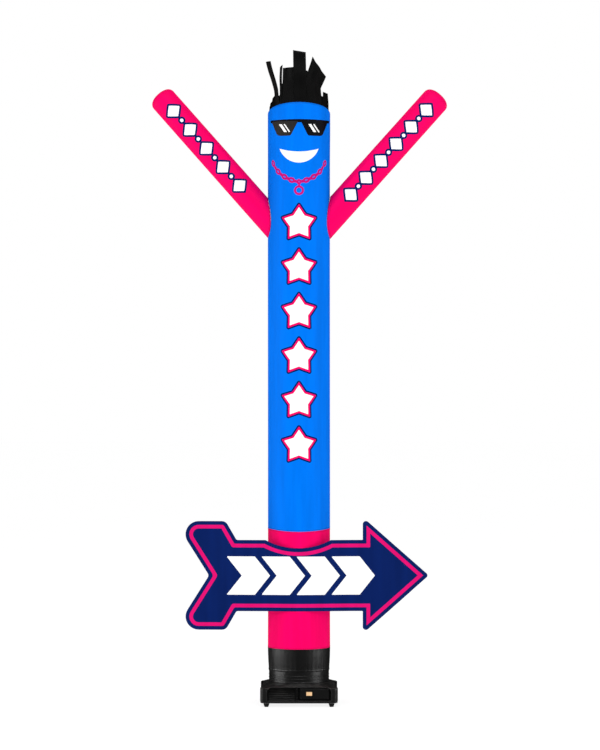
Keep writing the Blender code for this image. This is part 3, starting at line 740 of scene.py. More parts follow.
def meets_body(side, angle, radius, body=TUBE_RADIUS):
    """How far along the arm a line on it meets the body's wall."""
    place = arm_frame(side)
    start = place @ on_tube(angle, radius, 0)
    way = place.to_3x3() @ Vector((0, 0, 1))
    a = way.x**2 + way.y**2
    b = 2 * (start.x * way.x + start.y * way.y)
    c = start.x**2 + start.y**2 - body**2
    return (-b + math.sqrt(max(b * b - 4 * a * c, 0.0))) / (2 * a)


ARM_ROOT = 0.17  # up to here an arm's rows follow the body's wall


def arm_place(side):
    """What places the spots of an arm's cloth: u round it from the front, w along it."""
    place = arm_frame(side)
    full = ARM_RADII[side]
    roots = {}

    def put(u, w):
        angle = u / full
        key = round(angle, 5)
        if key not in roots:
            roots[key] = meets_body(side, angle, full, TUBE_RADIUS + SEAM)
        along = w
        if w < ARM_ROOT:
            along = roots[key] + w / ARM_ROOT * (ARM_ROOT - roots[key])
        folds = ARM_FOLD_DEPTH * (1 + math.cos(ARM_FOLD_LOBES * angle + 2.0 * along)) / 2
        for trough in ARM_TROUGHS[side]:
            if trough.low < along < trough.high:
                away = math.remainder(angle - math.radians(trough.at), 2 * math.pi)
                share = (along - trough.low) / (trough.high - trough.low)
                ends = eased(min(share, 1 - share) / ARM_TROUGH_END)
                folds += trough.depth * ends * bump(away, math.radians(trough.width))
        past = min(max(along - ARM_STRAIGHT, 0.0) / ARM_TIP, 1.0)
        round_off = max(1 - past**ARM_TIP_SQUARENESS, 0.0) ** (1 / ARM_TIP_SQUARENESS)
        stand = ARM_SEAM * seam_shape(angle, along - roots[key])
        radius = (full - folds + stand) * round_off
        return place @ on_tube(angle, radius, along)

    return put


def sign_depth(x):
    """How far the panel's back face lies behind the front of the body."""
    bow = SIGN_SWEEP * (x / SIGN_BEND) ** 2 / (1 + (x / SIGN_BEND) ** 2)
    off_body = max(abs(x) - TUBE_RADIUS, 0.0)
    wave = SIGN_WAVE * math.sin(2 * math.pi * off_body / SIGN_WAVE_LENGTH)
    return bow + wave * math.copysign(1.0, x)


RIPPLE_FROM = 0.20  # where the ripples of the wings start, and over what they grow
RIPPLE_GROWS = 0.3
RIPPLE_DEPTH = 0.0022
DRAW_AT = 0.255
DRAW_REACH = math.sqrt(0.0011)
DRAW_DEPTH = 0.0016
PANEL_FRONT = TUBE_RADIUS + SEAM + SIGN_THICKNESS - 0.0004


def sign_place(u, w):
    """The front of the panel, with soft draws where it leaves the body and ripples in its wings."""
    grown = eased(max(abs(u) - RIPPLE_FROM, 0.0) / RIPPLE_GROWS)
    ripple = RIPPLE_DEPTH * grown * math.sin(9.0 * w + 5.0 * u) * math.cos(4.0 * u)
    draw = DRAW_DEPTH * bump(abs(u) - DRAW_AT, DRAW_REACH) * (0.6 + 0.4 * math.cos(11 * w))
    return Vector((u, sign_depth(u) + ripple + draw - PANEL_FRONT, SIGN_HEIGHT + w))


# ---------------------------------------------------------------- prints


STAR_TOP = 3.8277  # top of the column of stars
STAR_BOTTOM = 1.8127
STAR_SINK = 0.008  # a star reaches further up from its centre than down
STAR_NAVY = 0.012
STAR_PINK = 0.014
STAR_WAIST = 0.60  # radius to the corners between the points, as a share of the star's
STAR_ROUNDS = (0.016, 0.004)  # radii at the points and at the corners between them


def star(centre, radius, inset):
    """A five-pointed star, drawn in from its outer outline by the inset."""
    corners = []
    for i in range(10):
        angle = math.pi / 2 + i * math.pi / 5
        out = radius * STAR_WAIST if i % 2 else radius
        x, z = centre[0] + out * math.cos(angle), centre[1] + out * math.sin(angle)
        corners.append(Corner(x, z, STAR_ROUNDS[i % 2]))
    return finer(rounded(inset_corners(corners, inset)))


def star_prints(count, radius):
    """A column of stars, each white in a pink line in a navy one."""
    prints = []
    pitch = (STAR_TOP - STAR_BOTTOM) / max(count, 1)
    for k in range(count):
        centre = (0.0, STAR_TOP - pitch * (k + 0.5) - STAR_SINK)
        prints.append(Print(star(centre, radius, 0.0), NAVY))
        prints.append(Print(star(centre, radius, STAR_NAVY), PINK))
        prints.append(Print(star(centre, radius, STAR_NAVY + STAR_PINK), WHITE))
    return prints


FACE_STEP = 0.008  # longest side in the outlines of the glasses
GLASSES_TOP = 4.438
GLASSES_BAR = 0.021  # depth of the bar across the top
GLASSES_DROP = 0.004  # how much lower the bar's ends are than its middle
GLASSES_LOW = 4.313
BAR_TOP = (-0.216, 0.230)  # ends of the bar along its top and along its foot
BAR_FOOT = (-0.213, 0.228)
LENS_LAP = 0.006  # how far a lens runs up under the bar
LENSES = {  # x at the top outside, top inside, bottom inside and bottom outside
    "left": (-0.208, -0.006, -0.064, -0.163),
    "right": (0.219, 0.013, 0.069, 0.176),
}
GLINTS = ((-0.046, 0.022), (-0.010, 0.011))  # start, from a lens's middle, and width
GLINT_TOP = 4.401
GLINT_LOW = 4.341
GLINT_SLANT = 0.040
GLINT_ROUND = 0.002
SMILE_ENDS = ((-0.1475, 4.2165), (0.1475, 4.2165))
SMILE_SAGS = (0.0235, 0.1065)  # how far its upper and its lower line hang


def face_print(corners, material):
    """A print of the face, drawn flat and laid round the body."""
    return Print(wrapped(finer(rounded(corners), FACE_STEP)), material)


def face_prints():
    """Plain dark glasses with glints, and a smile."""
    bar_low = GLASSES_TOP - GLASSES_BAR
    bar = [
        Corner(BAR_TOP[0], GLASSES_TOP - GLASSES_DROP, 0.003),
        Corner(BAR_FOOT[0], bar_low - GLASSES_DROP, 0.003),
        Corner(BAR_FOOT[1], bar_low - GLASSES_DROP, 0.003),
        Corner(BAR_TOP[1], GLASSES_TOP - GLASSES_DROP, 0.003),
        Corner(0.0, GLASSES_TOP, 0.30),
    ]
    prints = [face_print(bar, BLACK)]
    for side, (top_out, top_in, low_in, low_out) in LENSES.items():
        lens = [
            Corner(top_out, bar_low + LENS_LAP, 0.004),
            Corner(top_in, bar_low + LENS_LAP, 0.004),
            Corner(low_in, GLASSES_LOW, 0.020),
            Corner(low_out, GLASSES_LOW, 0.032),
        ]
        prints.append(face_print(lens, SMOKE if side == "left" else BLACK))
        for start, width in GLINTS:
            x = (top_out + top_in) / 2 + start
            glint = [
                Corner(x, GLINT_TOP, GLINT_ROUND),
                Corner(x + width, GLINT_TOP, GLINT_ROUND),
                Corner(x + width + GLINT_SLANT, GLINT_LOW, GLINT_ROUND),
                Corner(x + GLINT_SLANT, GLINT_LOW, GLINT_ROUND),
            ]
            prints.append(face_print(glint, WHITE))
    left, right = SMILE_ENDS
    upper, lower = (arc_through(left, sag, right) for sag in SMILE_SAGS)
    prints.append(Print(wrapped(upper + lower[-2:0:-1]), WHITE))
    return prints


CHAIN_HALF = 0.243  # round the body from the middle to an end
CHAIN_LOW = 3.965
CHAIN_ROUND = 0.020
CHAIN_SLOPE = 0.30
CHAIN_CURL = 6.4  # how fast it steepens towards its ends
CHAIN_LINKS = 8  # on each side
CHAIN_START = 0.95  # the first side link's place and the spare at an end, in links
CHAIN_SPARE = 0.35
LINK = (0.0280, 0.0210)  # half sizes along the chain and across it
LINK_STROKE = 0.0165
SIDE_LINK = (0.0190, 0.0115)  # a link seen edge on
HANGER = (0.0080, 0.015)
HANGER_DROP = 0.023
PENDANT = (0.0365 * 1.05, 0.0365)
PENDANT_STROKE = 0.0160
PENDANT_DROP = 0.0640


def chain_point(u):
    """The chain hangs almost straight at its middle and rises steeply at the sides."""
    rise = CHAIN_SLOPE * (math.hypot(u, CHAIN_ROUND) - CHAIN_ROUND) + CHAIN_CURL * abs(u) ** 3
    return Vector((u, CHAIN_LOW + rise))


def link_print(centre, half_long, half_wide, tilt, stroke=LINK_STROKE, steps=20):
    """An oval ring."""
    hole = oval(centre, half_long - stroke, half_wide - stroke, tilt, steps)
    return Print(oval(centre, half_long, half_wide, tilt, steps), CHAIN, (hole,))


def chain_prints():
    """A plain chain of oval links round the neck with one ring hanging from it."""
    prints = [link_print(chain_point(0.0), LINK[1] * 0.9, LINK[1], 0.0)]
    for way in (-1, 1):
        for k in range(CHAIN_LINKS):
            u = way * CHAIN_HALF * (k + CHAIN_START) / (CHAIN_LINKS + CHAIN_SPARE)
            slope = chain_point(u + NUDGE) - chain_point(u - NUDGE)
            tilt = math.atan2(slope.y, slope.x)
            if k % 2:
                prints.append(link_print(chain_point(u), *LINK, tilt))
            else:
                prints.append(Print(oval(chain_point(u), *SIDE_LINK, tilt, 14), CHAIN))
    low = chain_point(0.0).y
    prints.append(Print(oval((0, low - HANGER_DROP), *HANGER, 0.0, 12), CHAIN))
    ring = (0, low - PENDANT_DROP)
    prints.append(link_print(ring, *PENDANT, 0.0, PENDANT_STROKE, 28))
    return prints


ARM_MARKS = {"left": (0.275, 1.125, 9), "right": (0.19, 1.135, 11)}  # from, to and how many
MARK_HALF = (0.08815, 0.07325)  # half a lozenge's size round the arm and along it
MARK_ROUND = 0.012
MARK_OUTLINE = 0.0155
DOT = 0.029


def arm_prints(side):
    """Lozenges and dots by turns along the arm."""
    start, end, count = ARM_MARKS[side]
    prints = []
    for k in range(count):
        along = start + (end - start) * (k + 0.5) / count
        if k % 2:
            outer = oval((0, along), DOT, DOT)
            inner = oval((0, along), DOT - MARK_OUTLINE, DOT - MARK_OUTLINE)
        else:
            wide, tall = MARK_HALF
            corners = [
                Corner(wide, along, MARK_ROUND),
                Corner(0, along + tall, MARK_ROUND),
                Corner(-wide, along, MARK_ROUND),
                Corner(0, along - tall, MARK_ROUND),
            ]
            outer = finer(rounded(corners))
            inner = finer(rounded(inset_corners(corners, MARK_OUTLINE)))
        prints += [Print(outer, NAVY), Print(inner, WHITE)]
    return prints


def sign_corners():
    """The panel's corners all round, with the arc let into its top edge."""
    start, end, depth = SIGN_DIP
    arc = arc_through((start, SIGN_SHAFT), depth, (end, SIGN_SHAFT), 16)
    top = list(SIGN_CORNERS)
    shaft_end = next(i for i, corner in enumerate(top) if corner.x > 0)
    top[shaft_end:shaft_end] = [Corner(p.x, p.y, 0.0) for p in arc]
    return top + [Corner(c.x, -c.z, c.radius) for c in reversed(SIGN_CORNERS[1:-1])]


CHEVRON_LEFT = -0.548
CHEVRON_RIGHT = 0.574
CHEVRON_HALF = 0.145
CHEVRON_POINT = 0.115  # how far a chevron's point stands ahead of its ends
CHEVRON_GAP = 0.050
CHEVRON_ROUND = 0.004


def chevron_prints(count):
    """A row of chevrons across the panel."""
    prints = []
    across = CHEVRON_RIGHT - CHEVRON_LEFT - CHEVRON_POINT
    bar = (across + CHEVRON_GAP) / max(count, 1) - CHEVRON_GAP
    for k in range(count):
        x = CHEVRON_LEFT + k * (bar + CHEVRON_GAP)
        sides = ((x, 1), (x + bar, 1), (x + bar + CHEVRON_POINT, 0))
        sides += ((x + bar, -1), (x, -1), (x + CHEVRON_POINT, 0))
        corners = [Corner(at, up * CHEVRON_HALF, CHEVRON_ROUND) for at, up in sides]
        prints.append(Print(finer(rounded(ccw(corners)), PANEL_STEP), WHITE))
    return prints


# ---------------------------------------------------------------- nodes


def node(tree, kind, inputs=(), **settings):
    """A new node. inputs gives its sockets, by name or number, values or other sockets."""
    made = tree.nodes.new(kind)
    for key, value in settings.items():
        setattr(made, key, value)
    for key, value in dict(inputs).items():
        if isinstance(value, bpy.types.NodeSocket):
            tree.links.new(value, made.inputs[key])
        else:
            made.inputs[key].default_value = value
    return made


def maths(tree, operation, *values):
    """The result of an operation on values and sockets."""
    return node(tree, "ShaderNodeMath", enumerate(values), operation=operation).outputs[0]


def stepped(tree, value, low, high, to_low=0.0, to_high=1.0):
    """A soft step of value from low to high."""
    made = node(
        tree,
        "ShaderNodeMapRange",
        {0: value, 1: low, 2: high, 3: to_low, 4: to_high},
        interpolation_type="SMOOTHSTEP",
    )
    return made.outputs[0]


SOCKETS = {"float": "NodeSocketFloat", "vector": "NodeSocketVector"}


def made_once(make):
    """Makes a node group under its maker's name, and after that gives the same one again."""
    name = make.__name__.replace("_", " ")

    def group():
        return bpy.data.node_groups.get(name) or make(name)

    return group


def shared_nodes(name, inputs, outputs):
    """A shader node group with its two ends. inputs and outputs give (name, kind, default)."""
    tree = bpy.data.node_groups.new(name, "ShaderNodeTree")
    for label, kind, default in inputs:
        socket = tree.interface.new_socket(label, in_out="INPUT", socket_type=SOCKETS[kind])
        if default is not None:
            socket.default_value = default
    for label, kind in outputs:
        tree.interface.new_socket(label, in_out="OUTPUT", socket_type=SOCKETS[kind])
    start = tree.nodes.new("NodeGroupInput")
    return tree, start.outputs, tree.nodes.new("NodeGroupOutput").inputs


@made_once
def ripstop_weave(name):
    """Height of a plain weave with heavier threads at even steps both ways."""
    tree, given, out = shared_nodes(
        name,
        (("Vector", "vector", None), ("Thread", "float", 0.0006), ("Ripstop", "float", 0.006)),
        (("Height", "float"), ("Ribs", "float")),
    )
    parts = node(tree, "ShaderNodeSeparateXYZ", {0: given["Vector"]}).outputs
    wave = []
    ribs = []
    for axis in (0, 1):
        turns = maths(tree, "DIVIDE", parts[axis], given["Thread"])
        wave.append(maths(tree, "SINE", maths(tree, "MULTIPLY", turns, math.pi)))
        away = maths(tree, "PINGPONG", parts[axis], maths(tree, "DIVIDE", given["Ripstop"], 2.0))
        width = maths(tree, "MULTIPLY", given["Thread"], 0.8)
        share = maths(tree, "DIVIDE", away, width)
        ribs.append(stepped(tree, share, 0.4, 1.0, 1.0, 0.0))
    weave = maths(tree, "MULTIPLY", wave[0], wave[1])
    rib = maths(tree, "MAXIMUM", ribs[0], ribs[1])
    height = maths(tree, "ADD", maths(tree, "MULTIPLY", weave, 0.3), rib)
    tree.links.new(height, out["Height"])
    tree.links.new(rib, out["Ribs"])
    return tree


@made_once
def cloth_streaks(name):
    """Slow changes of tone, drawn out along the cloth."""
    tree, given, out = shared_nodes(
        name,
        (("Vector", "vector", None), ("Across", "float", 14.0), ("Along", "float", 1.2)),
        (("Tone", "float"),),
    )
    scale = node(tree, "ShaderNodeCombineXYZ", {0: given["Across"], 1: given["Along"]}).outputs[0]
    moved = node(
        tree, "ShaderNodeVectorMath", {0: given["Vector"], 1: scale}, operation="MULTIPLY"
    ).outputs[0]
    noise = node(tree, "ShaderNodeTexNoise", {"Vector": moved, "Scale": 1.0, "Detail": 3.0})
    tree.links.new(stepped(tree, noise.outputs[0], 0.3, 0.7), out["Tone"])
    return tree


@made_once
def hem_band(name):
    """A mask of the double cloth along the bottom and the top of a sheet."""
    tree, given, out = shared_nodes(
        name,
        (
            ("Vector", "vector", None),
            ("Low", "float", 0.0),
            ("High", "float", 1.0),
            ("Width", "float", 0.012),
        ),
        (("Mask", "float"),),
    )
    along = node(tree, "ShaderNodeSeparateXYZ", {0: given["Vector"]}).outputs[1]
    above = maths(tree, "SUBTRACT", along, given["Low"])
    below = maths(tree, "SUBTRACT", given["High"], along)
    share = maths(tree, "DIVIDE", maths(tree, "MINIMUM", above, below), given["Width"])
    tree.links.new(stepped(tree, share, 0.9, 1.05, 1.0, 0.0), out["Mask"])
    return tree


@made_once
def moulded_grain(name):
    """The fine grain of moulded plastic and its scuffs."""
    tree, given, out = shared_nodes(
        name,
        (("Vector", "vector", None), ("Grain", "float", 0.0015), ("Scuffs", "float", 9.0)),
        (("Height", "float"), ("Scuff", "float"), ("Cloud", "float")),
    )
    scale = maths(tree, "DIVIDE", 1.0, given["Grain"])
    grain = node(
        tree, "ShaderNodeTexNoise", {"Vector": given["Vector"], "Scale": scale, "Detail": 2.0}
    )
    tree.links.new(grain.outputs[0], out["Height"])
    stretched = node(
        tree,
        "ShaderNodeVectorMath",
        {0: given["Vector"], 1: (1.0, 1.0, 9.0)},
        operation="MULTIPLY",
    ).outputs[0]
    scuffs = node(
        tree,
        "ShaderNodeTexNoise",
        {"Vector": stretched, "Scale": given["Scuffs"], "Detail": 6.0, "Roughness": 0.7},
    )
    tree.links.new(stepped(tree, scuffs.outputs[0], 0.56, 0.72), out["Scuff"])
    cloud = node(tree, "ShaderNodeTexNoise", {"Vector": given["Vector"], "Scale": 3.0})
    tree.links.new(stepped(tree, cloud.outputs[0], 0.3, 0.7), out["Cloud"])
    return tree


@made_once
def top_dust(name):
    """Where dust lies on faces that look up, broken up by noise."""
    tree, given, out = shared_nodes(name, (("Vector", "vector", None),), (("Mask", "float"),))
    facing_up = node(tree, "ShaderNodeNewGeometry").outputs["Normal"]
    up = node(tree, "ShaderNodeSeparateXYZ", {0: facing_up}).outputs[2]
    noise = node(
        tree, "ShaderNodeTexNoise", {"Vector": given["Vector"], "Scale": 22.0, "Detail": 5.0}
    )
    lies = stepped(tree, up, 0.45, 0.95)
    spread = stepped(tree, noise.outputs[0], 0.35, 0.75)
    tree.links.new(maths(tree, "MULTIPLY", lies, spread), out["Mask"])
    return tree


def use(tree, group, inputs):
    """The outputs of a shared group."""
    return node(tree, "ShaderNodeGroup", inputs, node_tree=group).outputs


def mixed(tree, factor, first, second):
    """A colour between two, each a colour or a socket."""
    inputs = {0: factor, 6: first, 7: second}
    return node(tree, "ShaderNodeMix", inputs, data_type="RGBA").outputs[2]


def shaded(base, factor):
    """A colour made lighter or darker, with its alpha."""
    return (*(min(channel * factor, 1.0) for channel in base[:3]), 1.0)


def new_material(name):
    made = bpy.data.materials.new(name)
    made.use_nodes = True
    return made, made.node_tree, made.node_tree.nodes["Principled BSDF"]


def finish_shader(tree, shader, skin, rough, gloss):
    """Gives a surface its colour, its roughness and the strength of its gloss."""
    tree.links.new(skin, shader.inputs["Base Color"])
    tree.links.new(rough, shader.inputs["Roughness"])
    shader.inputs["Specular IOR Level"].default_value = gloss


def raise_surface(tree, shader, height, distance, relief):
    """Gives a surface fine relief from a height."""
    inputs = {"Strength": relief, "Distance": distance, "Height": height}
    tree.links.new(node(tree, "ShaderNodeBump", inputs).outputs[0], shader.inputs["Normal"])


NO_HEM = (-9.0, 9.0)  # ends so far out that no cloth is double
WEAVE_RELIEF = 0.12
RIB_SHARE = 0.5  # how strongly, and how dark, the heavy threads and the double cloth show
RIB_TONE = 0.88
DOUBLE_SHARE = 0.6
DOUBLE_TONE = 0.72
ROUGHNESS_SPREAD = 0.06


def nylon(name, base, hem=NO_HEM, roughness=0.5, gloss=0.008, tone=0.08):
    """Thin woven nylon: fine weave, slow streaks of tone, and darker where it is double."""
    cloth = bpy.context.scene.air_dancer_cloth
    made, tree, shader = new_material(name)
    coords = node(tree, "ShaderNodeUVMap", uv_map="cloth").outputs["UV"]
    threads = {"Vector": coords, "Thread": cloth.thread, "Ripstop": cloth.ripstop}
    weave = use(tree, ripstop_weave(), threads)
    streaks = use(tree, cloth_streaks(), {"Vector": coords})["Tone"]
    body = mixed(tree, streaks, shaded(base, 1 - tone), shaded(base, 1 + tone))
    ribs = maths(tree, "MULTIPLY", weave["Ribs"], RIB_SHARE)
    ribbed = mixed(tree, ribs, body, shaded(base, RIB_TONE))
    double = use(tree, hem_band(), {"Vector": coords, "Low": hem[0], "High": hem[1], "Width": HEM})
    mask = maths(tree, "MULTIPLY", double["Mask"], DOUBLE_SHARE)
    skin = mixed(tree, mask, ribbed, shaded(base, DOUBLE_TONE))
    smoothest, roughest = roughness - ROUGHNESS_SPREAD, roughness + ROUGHNESS_SPREAD
    rough = stepped(tree, streaks, 0.0, 1.0, smoothest, roughest)
    finish_shader(tree, shader, skin, rough, gloss)
    raise_surface(tree, shader, weave["Height"], cloth.thread * 0.4, WEAVE_RELIEF)
    return made


SCUFF_SHARE = 0.35
SCUFF_TONE = 2.2
SCUFF_ROUGHNESS = 0.22
DUST = (0.16, 0.15, 0.14, 1.0)


def plastic(name, base, roughness=0.42, gloss=0.5, grain=0.0014, relief=0.25, dust=0.18):
    """Moulded plastic with a fine grain, scuffs and a little dust on top."""
    made, tree, shader = new_material(name)
    coords = node(tree, "ShaderNodeTexCoord").outputs["Object"]
    skin = use(tree, moulded_grain(), {"Vector": coords, "Grain": grain})
    clouded = mixed(tree, skin["Cloud"], shaded(base, 0.85), shaded(base, 1.15))
    scuffs = maths(tree, "MULTIPLY", skin["Scuff"], SCUFF_SHARE)
    scuffed = mixed(tree, scuffs, clouded, shaded(base, SCUFF_TONE))
    lies = use(tree, top_dust(), {"Vector": coords})["Mask"]
    dusty = mixed(tree, maths(tree, "MULTIPLY", lies, dust), scuffed, DUST)
    roughest = min(roughness + SCUFF_ROUGHNESS, 1.0)
    rough = stepped(tree, skin["Scuff"], 0.0, 1.0, roughness, roughest)
    finish_shader(tree, shader, dusty, rough, gloss)
    raise_surface(tree, shader, skin["Height"], grain * 0.2, relief)
    return made


def metal(name, base, roughness=0.38):
    """Coated sheet metal with fine scratches."""
    made = plastic(name, base, roughness, grain=0.0009, relief=0.15, dust=0.1)
    made.node_tree.nodes["Principled BSDF"].inputs["Metallic"].default_value = 0.8
    return made


# ---------------------------------------------------------------- stitches and screws


Line = namedtuple("Line", "points ways closed")


STITCH_PROUD = 0.0001


def line_on(place, spots, closed=False):
    """A line of points on cloth, with the way it faces at each."""
    ways = [facing(place, *spot).copy() for spot in spots]
    points = [place(*spot) + way * STITCH_PROUD for spot, way in zip(spots, ways, strict=True)]
    return Line(points, ways, closed)


def line_mesh(name, lines):
    """Lines as edges, with the way each point faces in the attribute up."""
    points, ways, edges = [], [], []
    for line in lines:
        first = len(points)
        points += line.points
        ways += line.ways
        count = len(line.points)
        edges += [(first + i, first + i + 1) for i in range(count - 1)]
        if line.closed:
            edges.append((first + count - 1, first))
    mesh = bpy.data.meshes.new(name)
    mesh.from_pydata(points, edges, [])
    up = mesh.attributes.new("up", "FLOAT_VECTOR", "POINT")
    up.data.foreach_set("vector", [value for way in ways for value in way])
    return mesh


def geometry_tree(name, sizes):
    """A geometry tree with its two ends. sizes gives its other inputs and their defaults."""
    tree = bpy.data.node_groups.new(name, "GeometryNodeTree")
    face = tree.interface
    face.new_socket("Geometry", in_out="INPUT", socket_type="NodeSocketGeometry")
    for label, default in sizes.items():
        socket = face.new_socket(label, in_out="INPUT", socket_type="NodeSocketFloat")
        socket.default_value = default
    face.new_socket("Geometry", in_out="OUTPUT", socket_type="NodeSocketGeometry")
    return tree, tree.nodes.new("NodeGroupInput").outputs, tree.nodes.new("NodeGroupOutput").inputs


def turned_up(tree):
    """The turn that lays Z the way the attribute up says."""
    up = node(tree, "GeometryNodeInputNamedAttribute", {"Name": "up"}, data_type="FLOAT_VECTOR")
    inputs = {"Vector": up.outputs[0]}
    return node(tree, "FunctionNodeAlignRotationToVector", inputs, axis="Z").outputs[0]


def set_on(tree, points, shape, turn, scale):
    """Real copies of a shape on points."""
    inputs = {"Points": points, "Instance": shape, "Rotation": turn, "Scale": scale}
    laid = node(tree, "GeometryNodeInstanceOnPoints", inputs).outputs[0]
    return node(tree, "GeometryNodeRealizeInstances", {0: laid}).outputs[0]


def stitching_tree(material):
    """Stitches laid end to end along edges."""
    sizes = {"Pitch": 0.006, "Length": 0.0044, "Thread": 0.0007}
    tree, given, out = geometry_tree("stitching", sizes)
    curve = node(tree, "GeometryNodeMeshToCurve", {"Mesh": given["Geometry"]}).outputs[0]
    lengths = {"Curve": curve, "Length": given["Pitch"]}
    spaced = node(tree, "GeometryNodeResampleCurve", lengths, mode="LENGTH").outputs[0]
    along = node(tree, "GeometryNodeInputTangent").outputs[0]
    turn = node(
        tree,
        "FunctionNodeAlignRotationToVector",
        {"Rotation": turned_up(tree), "Vector": along},
        axis="X",
        pivot_axis="Z",
    ).outputs[0]
    ball = {"Segments": 6, "Rings": 4, "Radius": 0.5}
    stitch = node(tree, "GeometryNodeMeshUVSphere", ball).outputs[0]
    sides = {0: given["Length"], 1: given["Thread"], 2: given["Thread"]}
    size = node(tree, "ShaderNodeCombineXYZ", sides).outputs[0]
    real = set_on(tree, spaced, stitch, turn, size)
    smooth = node(tree, "GeometryNodeSetShadeSmooth", {0: real}).outputs[0]
    finished = node(tree, "GeometryNodeSetMaterial", {0: smooth, "Material": material}).outputs[0]
    tree.links.new(finished, out[0])
    return tree


def screws_tree(head, material):
    """A head on every point, facing the way up says and turned at random."""
    tree, given, out = geometry_tree("screws", {"Radius": 0.005})
    spins = {"Seed": 7, "Min": (0.0, 0.0, 0.0), "Max": (0.0, 0.0, 6.28)}
    spin = node(tree, "FunctionNodeRandomValue", spins, data_type="FLOAT_VECTOR").outputs[0]
    turns = {0: turned_up(tree), 1: spin}
    turned = node(tree, "FunctionNodeRotateRotation", turns, rotation_space="LOCAL").outputs[0]
    shape = node(tree, "GeometryNodeObjectInfo", {"Object": head}).outputs["Geometry"]
    real = set_on(tree, given["Geometry"], shape, turned, given["Radius"])
    finished = node(tree, "GeometryNodeSetMaterial", {0: real, "Material": material}).outputs[0]
    tree.links.new(finished, out[0])
    return tree


def passing(name, shape):
    """An object that carries a mesh or a curve only while a piece is made of it."""
    holder = bpy.data.objects.new(name, shape)
    bpy.context.scene.collection.objects.link(holder)
    return holder


def evaluated(holder):
    """The plain mesh that a passing object and its modifiers make. The object goes."""
    bpy.context.view_layer.update()
    seen = holder.evaluated_get(bpy.context.evaluated_depsgraph_get())
    result = bpy.data.meshes.new_from_object(seen)
    result.materials.clear()
    holder.modifiers.clear()
    bpy.data.objects.remove(holder)
    return result


def grown(name, mesh, tree, settings, material):
    """What a node tree makes of a mesh, as a plain piece that rides on the dancer."""
    holder = passing(name + " lines", mesh)
    step = holder.modifiers.new("nodes", "NODES")
    step.node_group = tree
    sockets = {item.name: item.identifier for item in tree.interface.items_tree}
    for label, value in settings.items():
        step[sockets[label]] = value
    return show(name, evaluated(holder), [material])


# ---------------------------------------------------------------- pieces of cloth


BODY_HALF = math.pi * TUBE_RADIUS  # from the front to the seam up the back
BODY_COLUMNS = even_columns(BODY_HALF, AROUND)
ARM_HOLE_LAP = 0.0027  # how much smaller an armhole is than its arm
ARM_ROOT_ROWS = (0.0, 0.003, 0.008, 0.0118, 0.0135, 0.020, 0.032, 0.05, 0.075, 0.105, 0.135)
ARM_ROW_LONG = 0.02
ARM_TIP_ROWS = 14
CUFF_FOOT_ROWS = (0, 0.002, 0.004, 0.0065, 0.009, 0.0115, 0.014, 0.017, 0.020)
CUFF_MIDDLE_ROWS = 18
CUFF_ROW_FROM = 0.024
CUFF_ROW_LONG = 0.0075
CUFF_TOP_ROWS = (0.014, 0.0135, 0.0115, 0.006, 0.002, 0.0)


def cloth_finishes(stem, plain, hem):
    """The plain cloth and its prints, in the order of a cloth's material list."""
    colours = bpy.context.scene.air_dancer_colours
    return [
        plain,
        nylon(f"{stem} white print", colours.white, hem, tone=0.01),
        nylon(f"{stem} pink print", colours.pink, hem),
        nylon(f"{stem} navy print", colours.navy, hem),
        nylon(f"{stem} black print", (0.002, 0.002, 0.004), hem, gloss=0.05),
        nylon(f"{stem} smoke print", (0.020, 0.018, 0.017), hem, gloss=0.05),
        nylon(f"{stem} chain print", colours.chain, hem),
    ]


class DANCER_OT_upper_body(bpy.types.Operator):
    """Makes the printed upper body, from the seam between the two colours to the rim"""

    bl_idname = "air_dancer.upper_body"
    bl_label = "Upper body"

    def execute(self, context):
        settings = context.scene.air_dancer_prints
        prints = star_prints(settings.stars, settings.star_radius)
        prints += chain_prints() + face_prints()
        holes = []
        for side in ARM_TILTS:
            place = arm_frame(side)
            radius = ARM_RADII[side] - ARM_HOLE_LAP
            hole = []
            for i in range(ARM_AROUND):
                angle = 2 * math.pi * i / ARM_AROUND
                point = place @ on_tube(angle, radius, meets_body(side, angle, radius))
                hole.append(Vector((TUBE_RADIUS * math.atan2(point.x, -point.y), point.z)))
            holes.append(hole)
        hem = (UPPER_BOTTOM + SEAM, RIM_TOP)
        mesh = tube_cloth(
            "upper_cloth",
            BODY_COLUMNS,
            sheet_rows(*hem),
            upper_place,
            context.scene.air_dancer_cloth.thickness,
            prints,
            holes,
        )
        plain = nylon("blue nylon", context.scene.air_dancer_colours.blue, hem)
        finishes = cloth_finishes("body", plain, hem)
        piece = show("upper_cloth", mesh, finishes, "body_upper", slot="blue_nylon")
        return {"FINISHED"}


class DANCER_OT_lower_body(bpy.types.Operator):
    """Makes the plain lower body between the cuff and the upper body"""

    bl_idname = "air_dancer.lower_body"
    bl_label = "Lower body"

    def execute(self, context):
        hem = (LOWER_BOTTOM + SEAM, UPPER_BOTTOM)
        mesh = tube_cloth(
            "lower_cloth",
            BODY_COLUMNS,
            sheet_rows(*hem),
            lower_place,
            context.scene.air_dancer_cloth.thickness,
        )
        plain = nylon("pink nylon", context.scene.air_dancer_colours.pink, hem)
        piece = show("lower_cloth", mesh, [plain], "body_lower", slot="pink_nylon")
        return {"FINISHED"}


